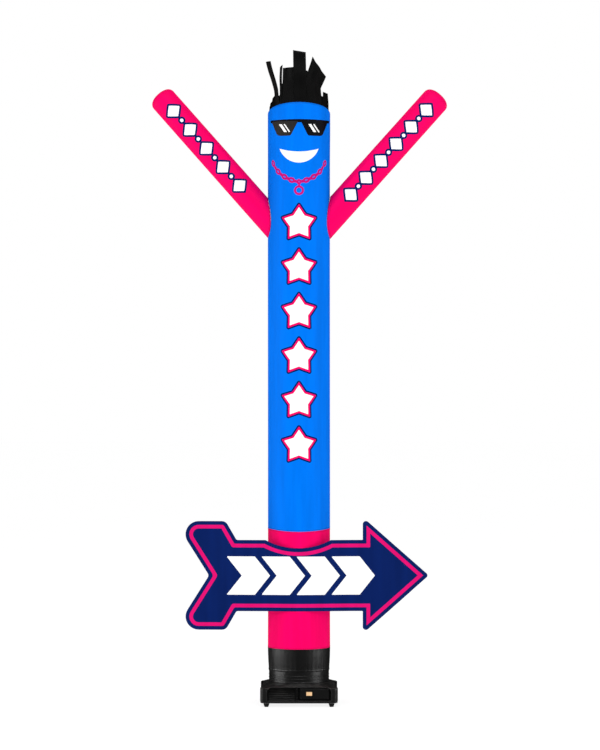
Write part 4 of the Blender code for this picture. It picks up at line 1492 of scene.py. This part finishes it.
class DANCER_OT_arms(bpy.types.Operator):
    """Makes the two printed arms, open to the body at their roots"""

    bl_idname = "air_dancer.arms"
    bl_label = "Arms"

    def execute(self, context):
        hem = (0.0, NO_HEM[1])
        plain = nylon("arm nylon", context.scene.air_dancer_colours.pink, hem)
        finishes = cloth_finishes("arm", plain, hem)
        long = ARM_STRAIGHT - ARM_ROOT
        count = round(long / ARM_ROW_LONG)
        rows = [*ARM_ROOT_ROWS, *(ARM_ROOT + long * i / count for i in range(count + 1))]
        for i in range(1, ARM_TIP_ROWS + 1):
            rows.append(ARM_STRAIGHT + ARM_TIP * math.sin(math.pi / 2 * i / ARM_TIP_ROWS))
        for side in ARM_TILTS:
            half = math.pi * ARM_RADII[side]
            way = arm_frame(side).to_3x3() @ Vector((0, 0, 1))
            name = f"arm_cloth_{side}"
            mesh = tube_cloth(
                name,
                even_columns(half, ARM_AROUND),
                rows,
                arm_place(side),
                context.scene.air_dancer_cloth.thickness,
                arm_prints(side),
                pole_way=way,
            )
            piece = show(name, mesh, finishes, f"arm_{side}", slot="pink_nylon")
        return {"FINISHED"}


class DANCER_OT_cuff(bpy.types.Operator):
    """Makes the cuff that is gathered on the blower's outlet"""

    bl_idname = "air_dancer.cuff"
    bl_label = "Cuff"

    def execute(self, context):
        bottom, top = CUFF_ROWS[0].height, CUFF_ROWS[-1].height
        rows = [bottom + d for d in CUFF_FOOT_ROWS]
        rows += [bottom + CUFF_ROW_FROM + CUFF_ROW_LONG * i for i in range(CUFF_MIDDLE_ROWS)]
        rows += [top - d for d in CUFF_TOP_ROWS]
        mesh = tube_cloth(
            "cuff_cloth",
            even_columns(BODY_HALF, CUFF_AROUND),
            rows,
            cuff_place,
            context.scene.air_dancer_cloth.thickness,
        )
        finish = nylon(
            "black nylon",
            context.scene.air_dancer_colours.black,
            (bottom, top),
            roughness=0.42,
            gloss=0.45,
            tone=0.15,
        )
        piece = show("cuff_cloth", mesh, [finish], "cuff", slot="black_nylon")
        return {"FINISHED"}


HAIR_FINE = 4  # columns in a slot of the band
HAIR_COLUMN = 0.005  # width of a column of the flat cloth
HAIR_ROW = 0.016
HAIR_THICKNESS = 0.0008
HAIR_FLUTE = 0.0045  # depth of the flutes up a strip
HAIR_FLUTE_SLOTS = 3.2  # slots of the band to a flute
HAIR_RIPPLE = 0.0050
HAIR_RIPPLE_TURN = 30.0  # radians of the ripple to a metre of strip


def band_point(slot, share):
    """A place on the band inside the rim, from its foot at share 0 to its top at share 1."""
    angle = 2 * math.pi * slot / HAIR_SLOTS + math.pi / 2
    height = rim_height(angle) + HAIR_BAND_SHOWS - HAIR_BAND * (1 - share)
    return on_tube(angle, HAIR_RADIUS, height)


def strip_point(strip, across, along):
    """A place on a strip of hair: across its width, and along it from the band."""
    root = band_point(strip.start + across * strip.slots, 1.0)
    middle_slot = strip.start + strip.slots / 2
    way = 2 * math.pi * middle_slot / HAIR_SLOTS + math.pi / 2 + math.radians(strip.turn)
    side = (across - 0.5) * strip.width
    tip = band_point(middle_slot, 1.0) + Vector((*strip.lean, strip.rise))
    tip += Vector((math.cos(way) * side, math.sin(way) * side, (across - 0.5) * strip.slant))
    point = root.lerp(tip, along)
    set_over, share_up = strip.kink
    point.x += set_over * min(along / share_up, (1 - along) / (1 - share_up))
    # soft flutes up the strip and a ripple along it, none at its root
    out = Vector((math.cos(way - math.pi / 2), math.sin(way - math.pi / 2), 0))
    grow = along * (1 - 0.35 * along)
    flutes = max(1.0, strip.slots / HAIR_FLUTE_SLOTS)
    flute = HAIR_FLUTE * math.cos(2 * math.pi * (across - 0.5) * flutes)
    ripple = HAIR_RIPPLE * math.sin(HAIR_RIPPLE_TURN * along * strip.rise + strip.start)
    return point + out * grow * (flute + ripple)


def hair_mesh():
    """The band and its strips as one surface, and its area."""
    shape = bmesh.new()
    layer = shape.loops.layers.uv.new("cloth")
    count = HAIR_SLOTS * HAIR_FINE
    spots = {}

    def spot(point, column, height):
        vert = shape.verts.new(point)
        spots[vert] = (column * HAIR_COLUMN, height)
        return vert

    foot, middle, top = (
        [spot(band_point(i / HAIR_FINE, share), i, HAIR_BAND * share) for i in range(count)]
        for share in (0.0, 0.5, 1.0)
    )
    for low, high in ((foot, middle), (middle, top)):
        for i in range(count):
            ahead = (i + 1) % count
            shape.faces.new((low[i], low[ahead], high[ahead], high[i]))
    for strip in HAIR_STRIPS:
        first, across = strip.start * HAIR_FINE, strip.slots * HAIR_FINE
        below = [top[(first + i) % count] for i in range(across + 1)]
        rows = max(6, round(strip.rise / HAIR_ROW))
        for j in range(1, rows + 1):
            along = j / rows
            height = HAIR_BAND + along * strip.rise
            row = [
                spot(strip_point(strip, i / across, along), first + i, height)
                for i in range(across + 1)
            ]
            for i in range(across):
                shape.faces.new((below[i], below[i + 1], row[i + 1], row[i]))
            below = row
    area = sum(face.calc_area() for face in shape.faces)
    for face in shape.faces:
        for loop in face.loops:
            loop[layer].uv = spots[loop.vert]
    mesh = bpy.data.meshes.new("hair")
    shape.to_mesh(mesh)
    shape.free()
    mesh.shade_smooth()
    return mesh, area


class DANCER_OT_hair(bpy.types.Operator):
    """Makes the hair, strips that stand up from a band inside the rim"""

    bl_idname = "air_dancer.hair"
    bl_label = "Hair"

    def execute(self, context):
        mesh, area = hair_mesh()
        holder = passing("hair maker", mesh)
        step = holder.modifiers.new("thickness", "SOLIDIFY")
        step.thickness = HAIR_THICKNESS
        step.offset = -1.0
        finish = nylon(
            "hair nylon",
            context.scene.air_dancer_colours.hair,
            roughness=0.6,
            gloss=0.05,
            tone=0.3,
        )
        piece = show("hair", evaluated(holder), [finish], "hair_fringe", slot="black_nylon")
        return {"FINISHED"}


def box_round(outline):
    """The low and the high corner of the box round an outline."""
    across, up = [p.x for p in outline], [p.y for p in outline]
    return Vector((min(across), min(up))), Vector((max(across), max(up)))


def panel_mesh(name, outline, prints, place, thickness):
    """A free sheet of cloth cut to an outline."""
    low, high = box_round(outline)
    spots = []
    for i in range(math.ceil((high.x - low.x) / PANEL_STEP)):
        for j in range(math.ceil((high.y - low.y) / PANEL_STEP)):
            spots.append((low.x + (i + 0.5) * PANEL_STEP, low.y + (j + 0.5) * PANEL_STEP))
    spots, faces = lay_prints(spots, [], [Print(outline, NAVY), *prints], [], PANEL_STEP)
    faces = [
        (corners, tuple(spots[c] for c in corners), finish)
        for corners, finish in faces
        if finish != PLAIN
    ]
    spots, faces, _ = without_spares(spots, faces)
    return sew_mesh(name, spots, faces, place, thickness)


class DANCER_OT_arrow_panel(bpy.types.Operator):
    """Makes the arrow panel with its edge, stripe and chevrons"""

    bl_idname = "air_dancer.arrow_panel"
    bl_label = "Arrow panel"

    def execute(self, context):
        settings = context.scene.air_dancer_prints
        corners = sign_corners()
        inner = settings.edge + settings.stripe
        outline = ccw(finer(rounded(corners)))
        prints = [
            Print(finer(rounded(inset_corners(corners, settings.edge))), PINK),
            Print(finer(rounded(inset_corners(corners, inner))), NAVY),
            *chevron_prints(settings.chevrons),
        ]
        mesh = panel_mesh("arrow_panel", outline, prints, sign_place, PANEL_THICKNESS)
        colours = context.scene.air_dancer_colours
        navy = nylon("panel navy", colours.navy, roughness=0.55, gloss=0.04, tone=0.1)
        finishes = cloth_finishes("panel", navy, NO_HEM)
        finishes[NAVY] = navy
        finishes[PINK] = nylon("panel stripe", colours.stripe, tone=0.06)
        piece = show("arrow_panel", mesh, finishes, "arrow_sign", slot="navy_panel")
        enclosed(outline)
        return {"FINISHED"}


STITCH_IN = 0.009  # from an edge to its stitches
RIM_STITCH_IN = 0.014
BACK_STITCH_IN = 0.006  # from the seam up the back to its stitches
ARM_BACK_STITCH_IN = 0.005
BACK_CLEAR = 0.02  # where the stitches up a back stop, short of a seam
ARM_BACK_TOP = ARM_STRAIGHT - 0.01
BACK_STEPS = 120  # of a line of stitches up a back
PANEL_EDGE_STEP = 0.01


def seam_round(place, w, columns):
    """A line of stitches once round a tube."""
    return line_on(place, [(u, w) for u in columns[:-1]], closed=True)


def seams_up_back(place, low, high, half, away):
    """Two lines of stitches up a tube's back, one on each side of its seam."""
    heights = [low + (high - low) * i / BACK_STEPS for i in range(BACK_STEPS + 1)]
    return [line_on(place, [(u, w) for w in heights]) for u in (half - away, away - half)]


class DANCER_OT_stitching(bpy.types.Operator):
    """Sews stitches along the seams, the rim, the arm roots and the panel's edge"""

    bl_idname = "air_dancer.stitching"
    bl_label = "Stitching"

    def execute(self, context):
        body = [
            seam_round(place, height, BODY_COLUMNS)
            for place, height in (
                (cuff_place, CUFF_ROWS[-1].height - STITCH_IN),
                (lower_place, LOWER_BOTTOM + SEAM + STITCH_IN),
                (lower_place, UPPER_BOTTOM - STITCH_IN),
                (upper_place, UPPER_BOTTOM + SEAM + STITCH_IN),
                (upper_place, RIM_TOP - RIM_STITCH_IN),
            )
        ]
        for place, low, high in (
            (lower_place, LOWER_BOTTOM, UPPER_BOTTOM),
            (upper_place, UPPER_BOTTOM, RIM_TOP),
        ):
            low, high = low + BACK_CLEAR, high - BACK_CLEAR
            body += seams_up_back(place, low, high, BODY_HALF, BACK_STITCH_IN)
        for side in ARM_TILTS:
            half = math.pi * ARM_RADII[side]
            place = arm_place(side)
            body.append(seam_round(place, STITCH_IN, even_columns(half, ARM_AROUND)))
            body += seams_up_back(place, BACK_CLEAR, ARM_BACK_TOP, half, ARM_BACK_STITCH_IN)
        edge = finer(rounded(inset_corners(sign_corners(), STITCH_IN)), PANEL_EDGE_STEP)
        panel = [line_on(sign_place, [tuple(p) for p in edge], closed=True)]
        settings = {"Pitch": context.scene.air_dancer_cloth.stitch}
        for name, lines, tint in (
            ("body_stitches", body, (0.02, 0.02, 0.03)),
            ("panel_stitches", panel, (0.01, 0.02, 0.10)),
        ):
            thread = plastic(f"{name} thread", tint, 0.6, 0.3, 0.0004, 0.3, 0.0)
            grown(name, line_mesh(name, lines), stitching_tree(thread), settings, thread)
        return {"FINISHED"}


# ---------------------------------------------------------------- blower


OUTLET_STEPS = 160
FLANGE = 0.004  # how far the outlet's foot stands out
BEAD = (0.002, 0.003)  # how far a bead stands out, and half its height
SHARP = 35  # degrees between two faces that stay sharp


def face_outward(mesh):
    """Turns all the faces of a closed mesh outward."""
    shape = bmesh.new()
    shape.from_mesh(mesh)
    bmesh.ops.recalc_face_normals(shape, faces=shape.faces)
    shape.to_mesh(mesh)
    shape.free()


def smooth_up_to(mesh, degrees):
    """Smooth shading, with the edges between steeper faces sharp."""
    mesh.shade_smooth()
    mesh.set_sharp_from_angle(angle=math.radians(degrees))


def turned_mesh(name, profile, steps):
    """A closed profile of (radius, height) points turned about Z."""
    points, faces = [], []
    count = len(profile)
    for i in range(steps):
        angle = 2 * math.pi * i / steps
        points += [(r * math.cos(angle), r * math.sin(angle), z) for r, z in profile]
        for j in range(count):
            here, there = i * count, (i + 1) % steps * count
            after = (j + 1) % count
            faces.append((here + j, here + after, there + after, there + j))
    mesh = bpy.data.meshes.new(name)
    mesh.from_pydata(points, [], faces)
    face_outward(mesh)
    smooth_up_to(mesh, 38)
    return mesh


def outlet_profile():
    """The section of the outlet: its wall with a round top, two beads and a rounded foot."""
    foot = DECK_TOP + SEAM
    out, wall = OUTLET_RADIUS, OUTLET_WALL
    profile = [(out - wall, foot), (out - wall, OUTLET_TOP - wall / 4)]
    for i in range(9):
        turn = math.pi - math.pi * i / 8
        up = wall / 2 * (math.sin(turn) - 1)
        profile.append((out - wall / 2 + wall / 2 * math.cos(turn), OUTLET_TOP + up))
    beads = [(height, *BEAD) for height in OUTLET_BEADS]
    for height, proud, half in [*beads, (foot + FLANGE, FLANGE, FLANGE)]:
        for i in range(9):
            turn = math.pi / 2 - math.pi * i / 8
            profile.append((out + proud * math.cos(turn), height + half * math.sin(turn)))
    return profile


class DANCER_OT_outlet(bpy.types.Operator):
    """Makes the blower's round outlet with its rounded foot and two beads"""

    bl_idname = "air_dancer.outlet"
    bl_label = "Outlet"

    def execute(self, context):
        mesh = turned_mesh("outlet", outlet_profile(), OUTLET_STEPS)
        finish = plastic("outlet plastic", context.scene.air_dancer_colours.housing, 0.30)
        show("outlet", mesh, [finish], "outlet_collar", slot="black_plastic")
        return {"FINISHED"}


CORNER_STEPS = 10  # of a ring round the housing
SIDE_STEPS = 20
SIDE_RINGS = (0.040, 0.090)  # heights of the rings between the foot and the shoulder's bend
QUARTERS = [Matrix.Rotation(quarter * math.pi / 2, 3, "Z") for quarter in range(4)]


def squarish_ring(height):
    """A level ring round the housing, a square with round corners."""
    points = []
    flat = HOUSING_HALF - HOUSING_CORNER
    for turn in QUARTERS:
        for i in range(CORNER_STEPS + 1):
            angle = math.pi / 2 * i / CORNER_STEPS
            out = Vector((math.cos(angle), math.sin(angle), 0)) * HOUSING_CORNER
            points.append(turn @ (Vector((flat, flat, height)) + out))
        start = Vector((flat, HOUSING_HALF, height))
        for i in range(1, SIDE_STEPS):
            points.append(turn @ (start - Vector((2 * flat * i / SIDE_STEPS, 0, 0))))
    return points


def deck_ring():
    """The deck's eight-sided edge, with as many points as a squarish ring."""
    points = []
    for turn in QUARTERS:
        ends = [
            Vector((DECK_HALF, DECK_SHORT, DECK_TOP)),
            Vector((DECK_SHORT, DECK_HALF, DECK_TOP)),
            Vector((-DECK_SHORT, DECK_HALF, DECK_TOP)),
        ]
        points += [
            turn @ ends[0].lerp(ends[1], i / CORNER_STEPS) for i in range(CORNER_STEPS + 1)
        ]
        points += [turn @ ends[1].lerp(ends[2], i / SIDE_STEPS) for i in range(1, SIDE_STEPS)]
    return points


def housing_shell():
    """The outer face of the housing as rings, from its foot up to the outlet's hole."""
    heights = (HOUSING_FLOOR, *SIDE_RINGS, HOUSING_SHOULDER - HOUSING_BEND)
    rings = [squarish_ring(height) for height in heights]
    shoulder = squarish_ring(HOUSING_SHOULDER)
    deck = deck_ring()
    # the edge at the shoulder is rounded: a bend from the side into the slope
    below = [point - Vector((0, 0, HOUSING_BEND)) for point in shoulder]
    above = [
        a.lerp(b, HOUSING_BEND / (b - a).length) for a, b in zip(shoulder, deck, strict=True)
    ]
    for step in (0.25, 0.5, 0.75, 1.0):
        rings.append(
            [
                low.lerp(edge, step).lerp(edge.lerp(high, step), step)
                for low, edge, high in zip(below, shoulder, above, strict=True)
            ]
        )
    for step in (0.33, 0.66, 0.97):
        rings.append([a.lerp(b, step) for a, b in zip(above, deck, strict=True)])
    inner = []
    for point in deck:
        flat = Vector((point.x, point.y, 0)).normalized() * OUTLET_HOLE
        inner.append(Vector((flat.x, flat.y, DECK_TOP)))
    rings.append([a.lerp(b, 0.15) for a, b in zip(deck, inner, strict=True)])
    rings.append(inner)
    return rings


def window_outline(proud):
    """The line round a window in the front, at a depth in front of the housing."""
    corners = [
        Corner(-WINDOW_HALF, WINDOW_BOTTOM, WINDOW_FOOT_ROUND),
        Corner(-WINDOW_HALF, WINDOW_TOP, WINDOW_ROUND),
        Corner(WINDOW_HALF, WINDOW_TOP, WINDOW_ROUND),
        Corner(WINDOW_HALF, WINDOW_BOTTOM, WINDOW_FOOT_ROUND),
    ]
    outline = finer(rounded(corners, math.radians(8)), 0.03)
    return [Vector((p.x, -HOUSING_HALF - proud, p.y)) for p in outline]


def window_cutter(turn):
    """A block through both walls of the housing, in the shape of the windows."""
    outline = window_outline(CUTTER_REACH)
    back = [Vector((p.x, -p.y, p.z)) for p in outline]
    total = len(outline)
    faces = [tuple(range(total))[::-1], tuple(range(total, 2 * total))]
    faces += [(i, (i + 1) % total, total + (i + 1) % total, total + i) for i in range(total)]
    block = bpy.data.meshes.new("window cutter")
    block.from_pydata(outline + back, [], faces)
    block.transform(turn.to_4x4())
    face_outward(block)
    return passing("window cutter", block)


def on_slope(point):
    """A point of the front window's line, drawn in to where the housing slopes away."""
    above = (point.z - HOUSING_SHOULDER) / (DECK_TOP - HOUSING_SHOULDER)
    if above <= 0:
        return point
    depth = HOUSING_HALF + (DECK_HALF - HOUSING_HALF) * above
    corner = HOUSING_HALF * 2 - HOUSING_CORNER
    depth = min(depth, corner + (DECK_HALF + DECK_SHORT - corner) * above - abs(point.x))
    return Vector((point.x, point.y + HOUSING_HALF - depth, point.z))


class DANCER_OT_housing(bpy.types.Operator):
    """Makes the moulded housing with an arched, lipped window in each side"""

    bl_idname = "air_dancer.housing"
    bl_label = "Housing"

    def execute(self, context):
        rings = housing_shell()
        count = len(rings[0])
        faces = []
        for level in range(len(rings) - 1):
            low, high = level * count, (level + 1) * count
            for i in range(count):
                ahead = (i + 1) % count
                faces.append((low + i, low + ahead, high + ahead, high + i))
        mesh = bpy.data.meshes.new("housing")
        mesh.from_pydata([point for ring in rings for point in ring], [], faces)
        smooth_up_to(mesh, SHARP)
        holder = passing("housing maker", mesh)
        step = holder.modifiers.new("wall", "SOLIDIFY")
        step.thickness = HOUSING_WALL
        step.offset = -1.0
        step.use_even_offset = True
        tools = [window_cutter(turn) for turn in QUARTERS[:2]]
        for tool in tools:
            cut = holder.modifiers.new("window", "BOOLEAN")
            cut.operation = "DIFFERENCE"
            cut.solver = "EXACT"
            cut.object = tool
        weigh = holder.modifiers.new("even shading", "WEIGHTED_NORMAL")
        weigh.keep_sharp = True
        result = evaluated(holder)
        result.set_sharp_from_angle(angle=math.radians(SHARP))
        for tool in tools:
            bpy.data.objects.remove(tool)
        finish = plastic("housing plastic", context.scene.air_dancer_colours.housing, 0.36, 0.4)
        show("housing", result, [finish], "blower_housing", slot="black_plastic")
        self.lips(context, finish)
        return {"FINISHED"}

    def lips(self, context, finish):
        """The rounded lips round the four windows."""
        curve = bpy.data.curves.new("window lips", "CURVE")
        curve.dimensions = "3D"
        curve.bevel_depth = context.scene.air_dancer_blower.lip
        curve.bevel_resolution = 3
        for turn in QUARTERS:
            spline = curve.splines.new("POLY")
            outline = [turn @ on_slope(p) for p in window_outline(-LIP_SINK)]
            spline.points.add(len(outline) - 1)
            for point, place in zip(spline.points, outline, strict=True):
                point.co = (*place, 1.0)
            spline.use_cyclic_u = True
        mesh = evaluated(passing("lip maker", curve))
        mesh.shade_smooth()
        show("window_lips", mesh, [finish])


STRIP_SCREWS = (-0.2842, -0.015, (0.071, 0.136))  # y, x and heights in the strip between windows
BOX_SCREWS = (-0.2834, (0.016, 0.218), (0.068, 0.132))  # y, x and heights in the control box
SLOPE_SCREWS = (-0.06, 0.06)  # on each side of the middle of each slope
SLOPE_SCREW_PROUD = 0.0005


def screw_head():
    """A low round head of radius 1 with a thin raised cross on its top."""
    shape = bmesh.new()
    for radius, height, depth in ((1.0, 0.0, 0.35), (0.86, 0.30, 0.16)):
        place = Matrix.Translation((0, 0, height))
        bmesh.ops.create_cone(
            shape,
            cap_ends=True,
            segments=20,
            radius1=radius,
            radius2=radius * 0.93,
            depth=depth,
            matrix=place,
        )
    for turn in (0, math.pi / 2):
        place = (
            Matrix.Translation((0, 0, 0.385))
            @ Matrix.Rotation(turn, 4, "Z")
            @ Matrix.Diagonal((0.95, 0.16, 0.02, 1))
        )
        bmesh.ops.create_cube(shape, size=1.0, matrix=place)
    mesh = bpy.data.meshes.new("screw head")
    shape.to_mesh(mesh)
    shape.free()
    smooth_up_to(mesh, 40)
    return mesh


def screw_lines():
    """A line of one point for each screw, with the way it faces."""
    forward = Vector((0, -1, 0))
    y, x, heights = STRIP_SCREWS
    lines = [Line([Vector((x, y, z))], [forward], False) for z in heights]
    y, places, heights = BOX_SCREWS
    lines += [Line([Vector((x, y, z))], [forward], False) for x in places for z in heights]
    slope = Vector((DECK_TOP - HOUSING_SHOULDER, 0, HOUSING_HALF - DECK_HALF)).normalized()
    out = (HOUSING_HALF + DECK_HALF) / 2
    up = (HOUSING_SHOULDER + DECK_TOP) / 2 + SLOPE_SCREW_PROUD
    for turn in QUARTERS:
        for side in SLOPE_SCREWS:
            lines.append(Line([turn @ Vector((out, side, up))], [turn @ slope], False))
    return lines


class DANCER_OT_screws(bpy.types.Operator):
    """Sets screws in the front of the blower, its control box and the slopes of its housing"""

    bl_idname = "air_dancer.screws"
    bl_label = "Screws"

    def execute(self, context):
        finish = metal("screw steel", (0.05, 0.05, 0.052), 0.35)
        head = bpy.data.objects.new("screw head", screw_head())
        tree = screws_tree(head, finish)
        settings = {"Radius": context.scene.air_dancer_blower.screw_radius}
        grown("screws", line_mesh("screws", screw_lines()), tree, settings, finish)
        bpy.data.node_groups.remove(tree)
        bpy.data.objects.remove(head)
        return {"FINISHED"}


class DANCER_OT_fittings(bpy.types.Operator):
    """Finishes the louvres, feet, plate, control box, switch and cable gland"""

    bl_idname = "air_dancer.fittings"
    bl_label = "Blower fittings"

    def execute(self, context):
        colours = context.scene.air_dancer_colours
        base = colours.housing
        dark = plastic("dark plastic", shaded(base, 0.55), 0.45, 0.35)
        black = plastic("switch plastic", shaded(base, 0.9), 0.3)
        rubber = plastic("rubber", (0.010, 0.010, 0.010), 0.75, 0.3, 0.002)
        finishes = {
            "base_plate": metal("coated plate", (0.34, 0.34, 0.35)),
            "switch_rocker": plastic(
                "amber plastic", colours.switch, 0.28, grain=0.0008, relief=0.1, dust=0.0
            ),
            "switch_bezel": black,
            "cable_gland": black,
        }
        for name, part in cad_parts.items():
            if part.hide_render:
                continue
            usual = rubber if name.startswith("foot_") else dark
            part.data.materials.clear()
            part.data.materials.append(finishes.get(name, usual))
        return {"FINISHED"}


# ---------------------------------------------------------------- studio


Softbox = namedtuple("Softbox", "name at size share in_gloss")
SOFTBOXES = (  # the first three light matt things alone, the others show in gloss alone
    Softbox("left softbox", (-5.4, -6.4, 3.0), (4.0, 6.0), 1.0, False),
    Softbox("right softbox", (4.8, -6.8, 3.0), (4.0, 6.0), 0.9, False),
    Softbox("top softbox", (0.0, -1.5, 9.5), (6.0, 6.0), 0.48, False),
    Softbox("left reflector", (-5.8, -1.0, 2.6), (4.6, 5.4), 1.0, True),
    Softbox("right reflector", (5.6, -1.9, 2.6), (3.6, 5.4), 0.8, True),
    Softbox("top reflector", (0.0, -3.0, 6.8), (5.0, 1.6), 2.0, True),
)
LIT = (0.0, 0.0, 2.4)  # where the softboxes point
CAMERA_SIDE = 0.0076
CAMERA_HEIGHT = 2.8316
CAMERA_AIM = 2.504
FOCAL_LENGTH = 157.48
SENSOR = 36.0
FLOOR_RADIUS = 60.0
FLOOR_TONES = ((0.30, 0.30, 0.30, 1), (0.32, 0.32, 0.32, 1))
FLOOR_GLOW = 0.83
FULL_WHITE = (1, 1, 1, 1)


def aimed(at, aim):
    """The placing of a light or a camera that looks at a spot."""
    way = Vector(aim) - Vector(at)
    return Matrix.Translation(at) @ way.to_track_quat("-Z", "Y").to_matrix().to_4x4()


def place_softbox(box, brightness):
    """An area light of the given radiance."""
    light = bpy.data.lights.new(box.name, "AREA")
    light.shape = "RECTANGLE"
    light.size, light.size_y = box.size
    light.energy = brightness * box.share * math.pi * box.size[0] * box.size[1]
    made = bpy.data.objects.new(box.name, light)
    made.visible_diffuse = not box.in_gloss
    made.visible_glossy = box.in_gloss
    made.matrix_world = aimed(box.at, LIT)
    bpy.context.scene.collection.objects.link(made)


def white_world(scene, ambient, reflected):
    """White to the camera, and of its own strength on matt things and in gloss."""
    world = bpy.data.worlds.new("studio")
    scene.world = world
    world.use_nodes = True
    tree = world.node_tree
    back = tree.nodes["Background"]
    back.inputs["Color"].default_value = FULL_WHITE
    rays = node(tree, "ShaderNodeLightPath").outputs
    even = stepped(tree, rays["Is Glossy Ray"], 0.0, 1.0, ambient, reflected)
    seen = node(tree, "ShaderNodeMix", {2: even, 3: 1.0})
    tree.links.new(rays["Is Camera Ray"], seen.inputs[0])
    tree.links.new(seen.outputs[0], back.inputs["Strength"])


def floor_paint():
    """Matt and pale, with a glow that keeps the ground near white."""
    made, tree, shader = new_material("pale floor")
    coords = node(tree, "ShaderNodeTexCoord").outputs["Object"]
    noise = node(tree, "ShaderNodeTexNoise", {"Vector": coords, "Scale": 0.6, "Detail": 4.0})
    tone = mixed(tree, noise.outputs[0], *FLOOR_TONES)
    tree.links.new(tone, shader.inputs["Base Color"])
    shader.inputs["Roughness"].default_value = 0.9
    shader.inputs["Specular IOR Level"].default_value = 0.1
    shader.inputs["Emission Color"].default_value = FULL_WHITE
    shader.inputs["Emission Strength"].default_value = FLOOR_GLOW
    return made


def lay_floor(scene):
    """A wide round floor, part of the stage and not of the dancer."""
    shape = bmesh.new()
    bmesh.ops.create_circle(shape, cap_ends=True, segments=96, radius=FLOOR_RADIUS)
    mesh = bpy.data.meshes.new("floor")
    shape.to_mesh(mesh)
    shape.free()
    floor = bpy.data.objects.new("floor", mesh)
    scene.collection.objects.link(floor)
    mesh.materials.append(floor_paint())
    floor.visible_glossy = False


def place_camera(scene, distance):
    """A level view from the front with a long lens."""
    lens = bpy.data.cameras.new("camera")
    lens.lens = FOCAL_LENGTH
    lens.sensor_width = SENSOR
    lens.clip_end = 200.0
    camera = bpy.data.objects.new("camera", lens)
    at = (CAMERA_SIDE, -distance, CAMERA_HEIGHT)
    camera.matrix_world = aimed(at, (CAMERA_SIDE, 0.0, CAMERA_AIM))
    scene.collection.objects.link(camera)
    scene.camera = camera


class DANCER_OT_studio(bpy.types.Operator):
    """Sets the pale floor, the soft lights and the camera"""

    bl_idname = "air_dancer.studio"
    bl_label = "Studio"

    def execute(self, context):
        scene = context.scene
        settings = scene.air_dancer_studio
        scene.view_settings.view_transform = "Standard"
        white_world(scene, settings.ambient, settings.reflected)
        lay_floor(scene)
        for box in SOFTBOXES:
            place_softbox(box, settings.shine if box.in_gloss else settings.side_light)
        place_camera(scene, settings.distance)
        return {"FINISHED"}


# ---------------------------------------------------------------- add-on


SETTINGS = {
    "air_dancer_cloth": AirDancerCloth,
    "air_dancer_prints": AirDancerPrints,
    "air_dancer_colours": AirDancerColours,
    "air_dancer_blower": AirDancerBlower,
    "air_dancer_studio": AirDancerStudio,
}
MAKERS = (
    DANCER_OT_studio,
    DANCER_OT_upper_body,
    DANCER_OT_lower_body,
    DANCER_OT_arms,
    DANCER_OT_cuff,
    DANCER_OT_hair,
    DANCER_OT_arrow_panel,
    DANCER_OT_stitching,
    DANCER_OT_outlet,
    DANCER_OT_housing,
    DANCER_OT_screws,
    DANCER_OT_fittings,
)


class DANCER_PT_looks(bpy.types.Panel):
    """Lists the settings and the makers of the air dancer's pieces"""

    bl_idname = "DANCER_PT_looks"
    bl_label = "Air Dancer"
    bl_space_type = "VIEW_3D"
    bl_region_type = "UI"
    bl_category = "Air Dancer"

    def draw(self, context):
        for name, kind in SETTINGS.items():
            box = self.layout.box()
            for prop in kind.__annotations__:
                box.prop(getattr(context.scene, name), prop)
        for maker in MAKERS:
            self.layout.operator(maker.bl_idname)


def register():
    for name, kind in SETTINGS.items():
        bpy.utils.register_class(kind)
        setattr(bpy.types.Scene, name, PointerProperty(type=kind))
    for kind in (*MAKERS, DANCER_PT_looks):
        bpy.utils.register_class(kind)


def unregister():
    for kind in (DANCER_PT_looks, *reversed(MAKERS)):
        bpy.utils.unregister_class(kind)
    for name, kind in reversed(SETTINGS.items()):
        delattr(bpy.types.Scene, name)
        bpy.utils.unregister_class(kind)


def main():
    register()
    for maker in MAKERS:
        group, name = maker.bl_idname.split(".")
        getattr(getattr(bpy.ops, group), name)()


if __name__ == "__main__":
    main()
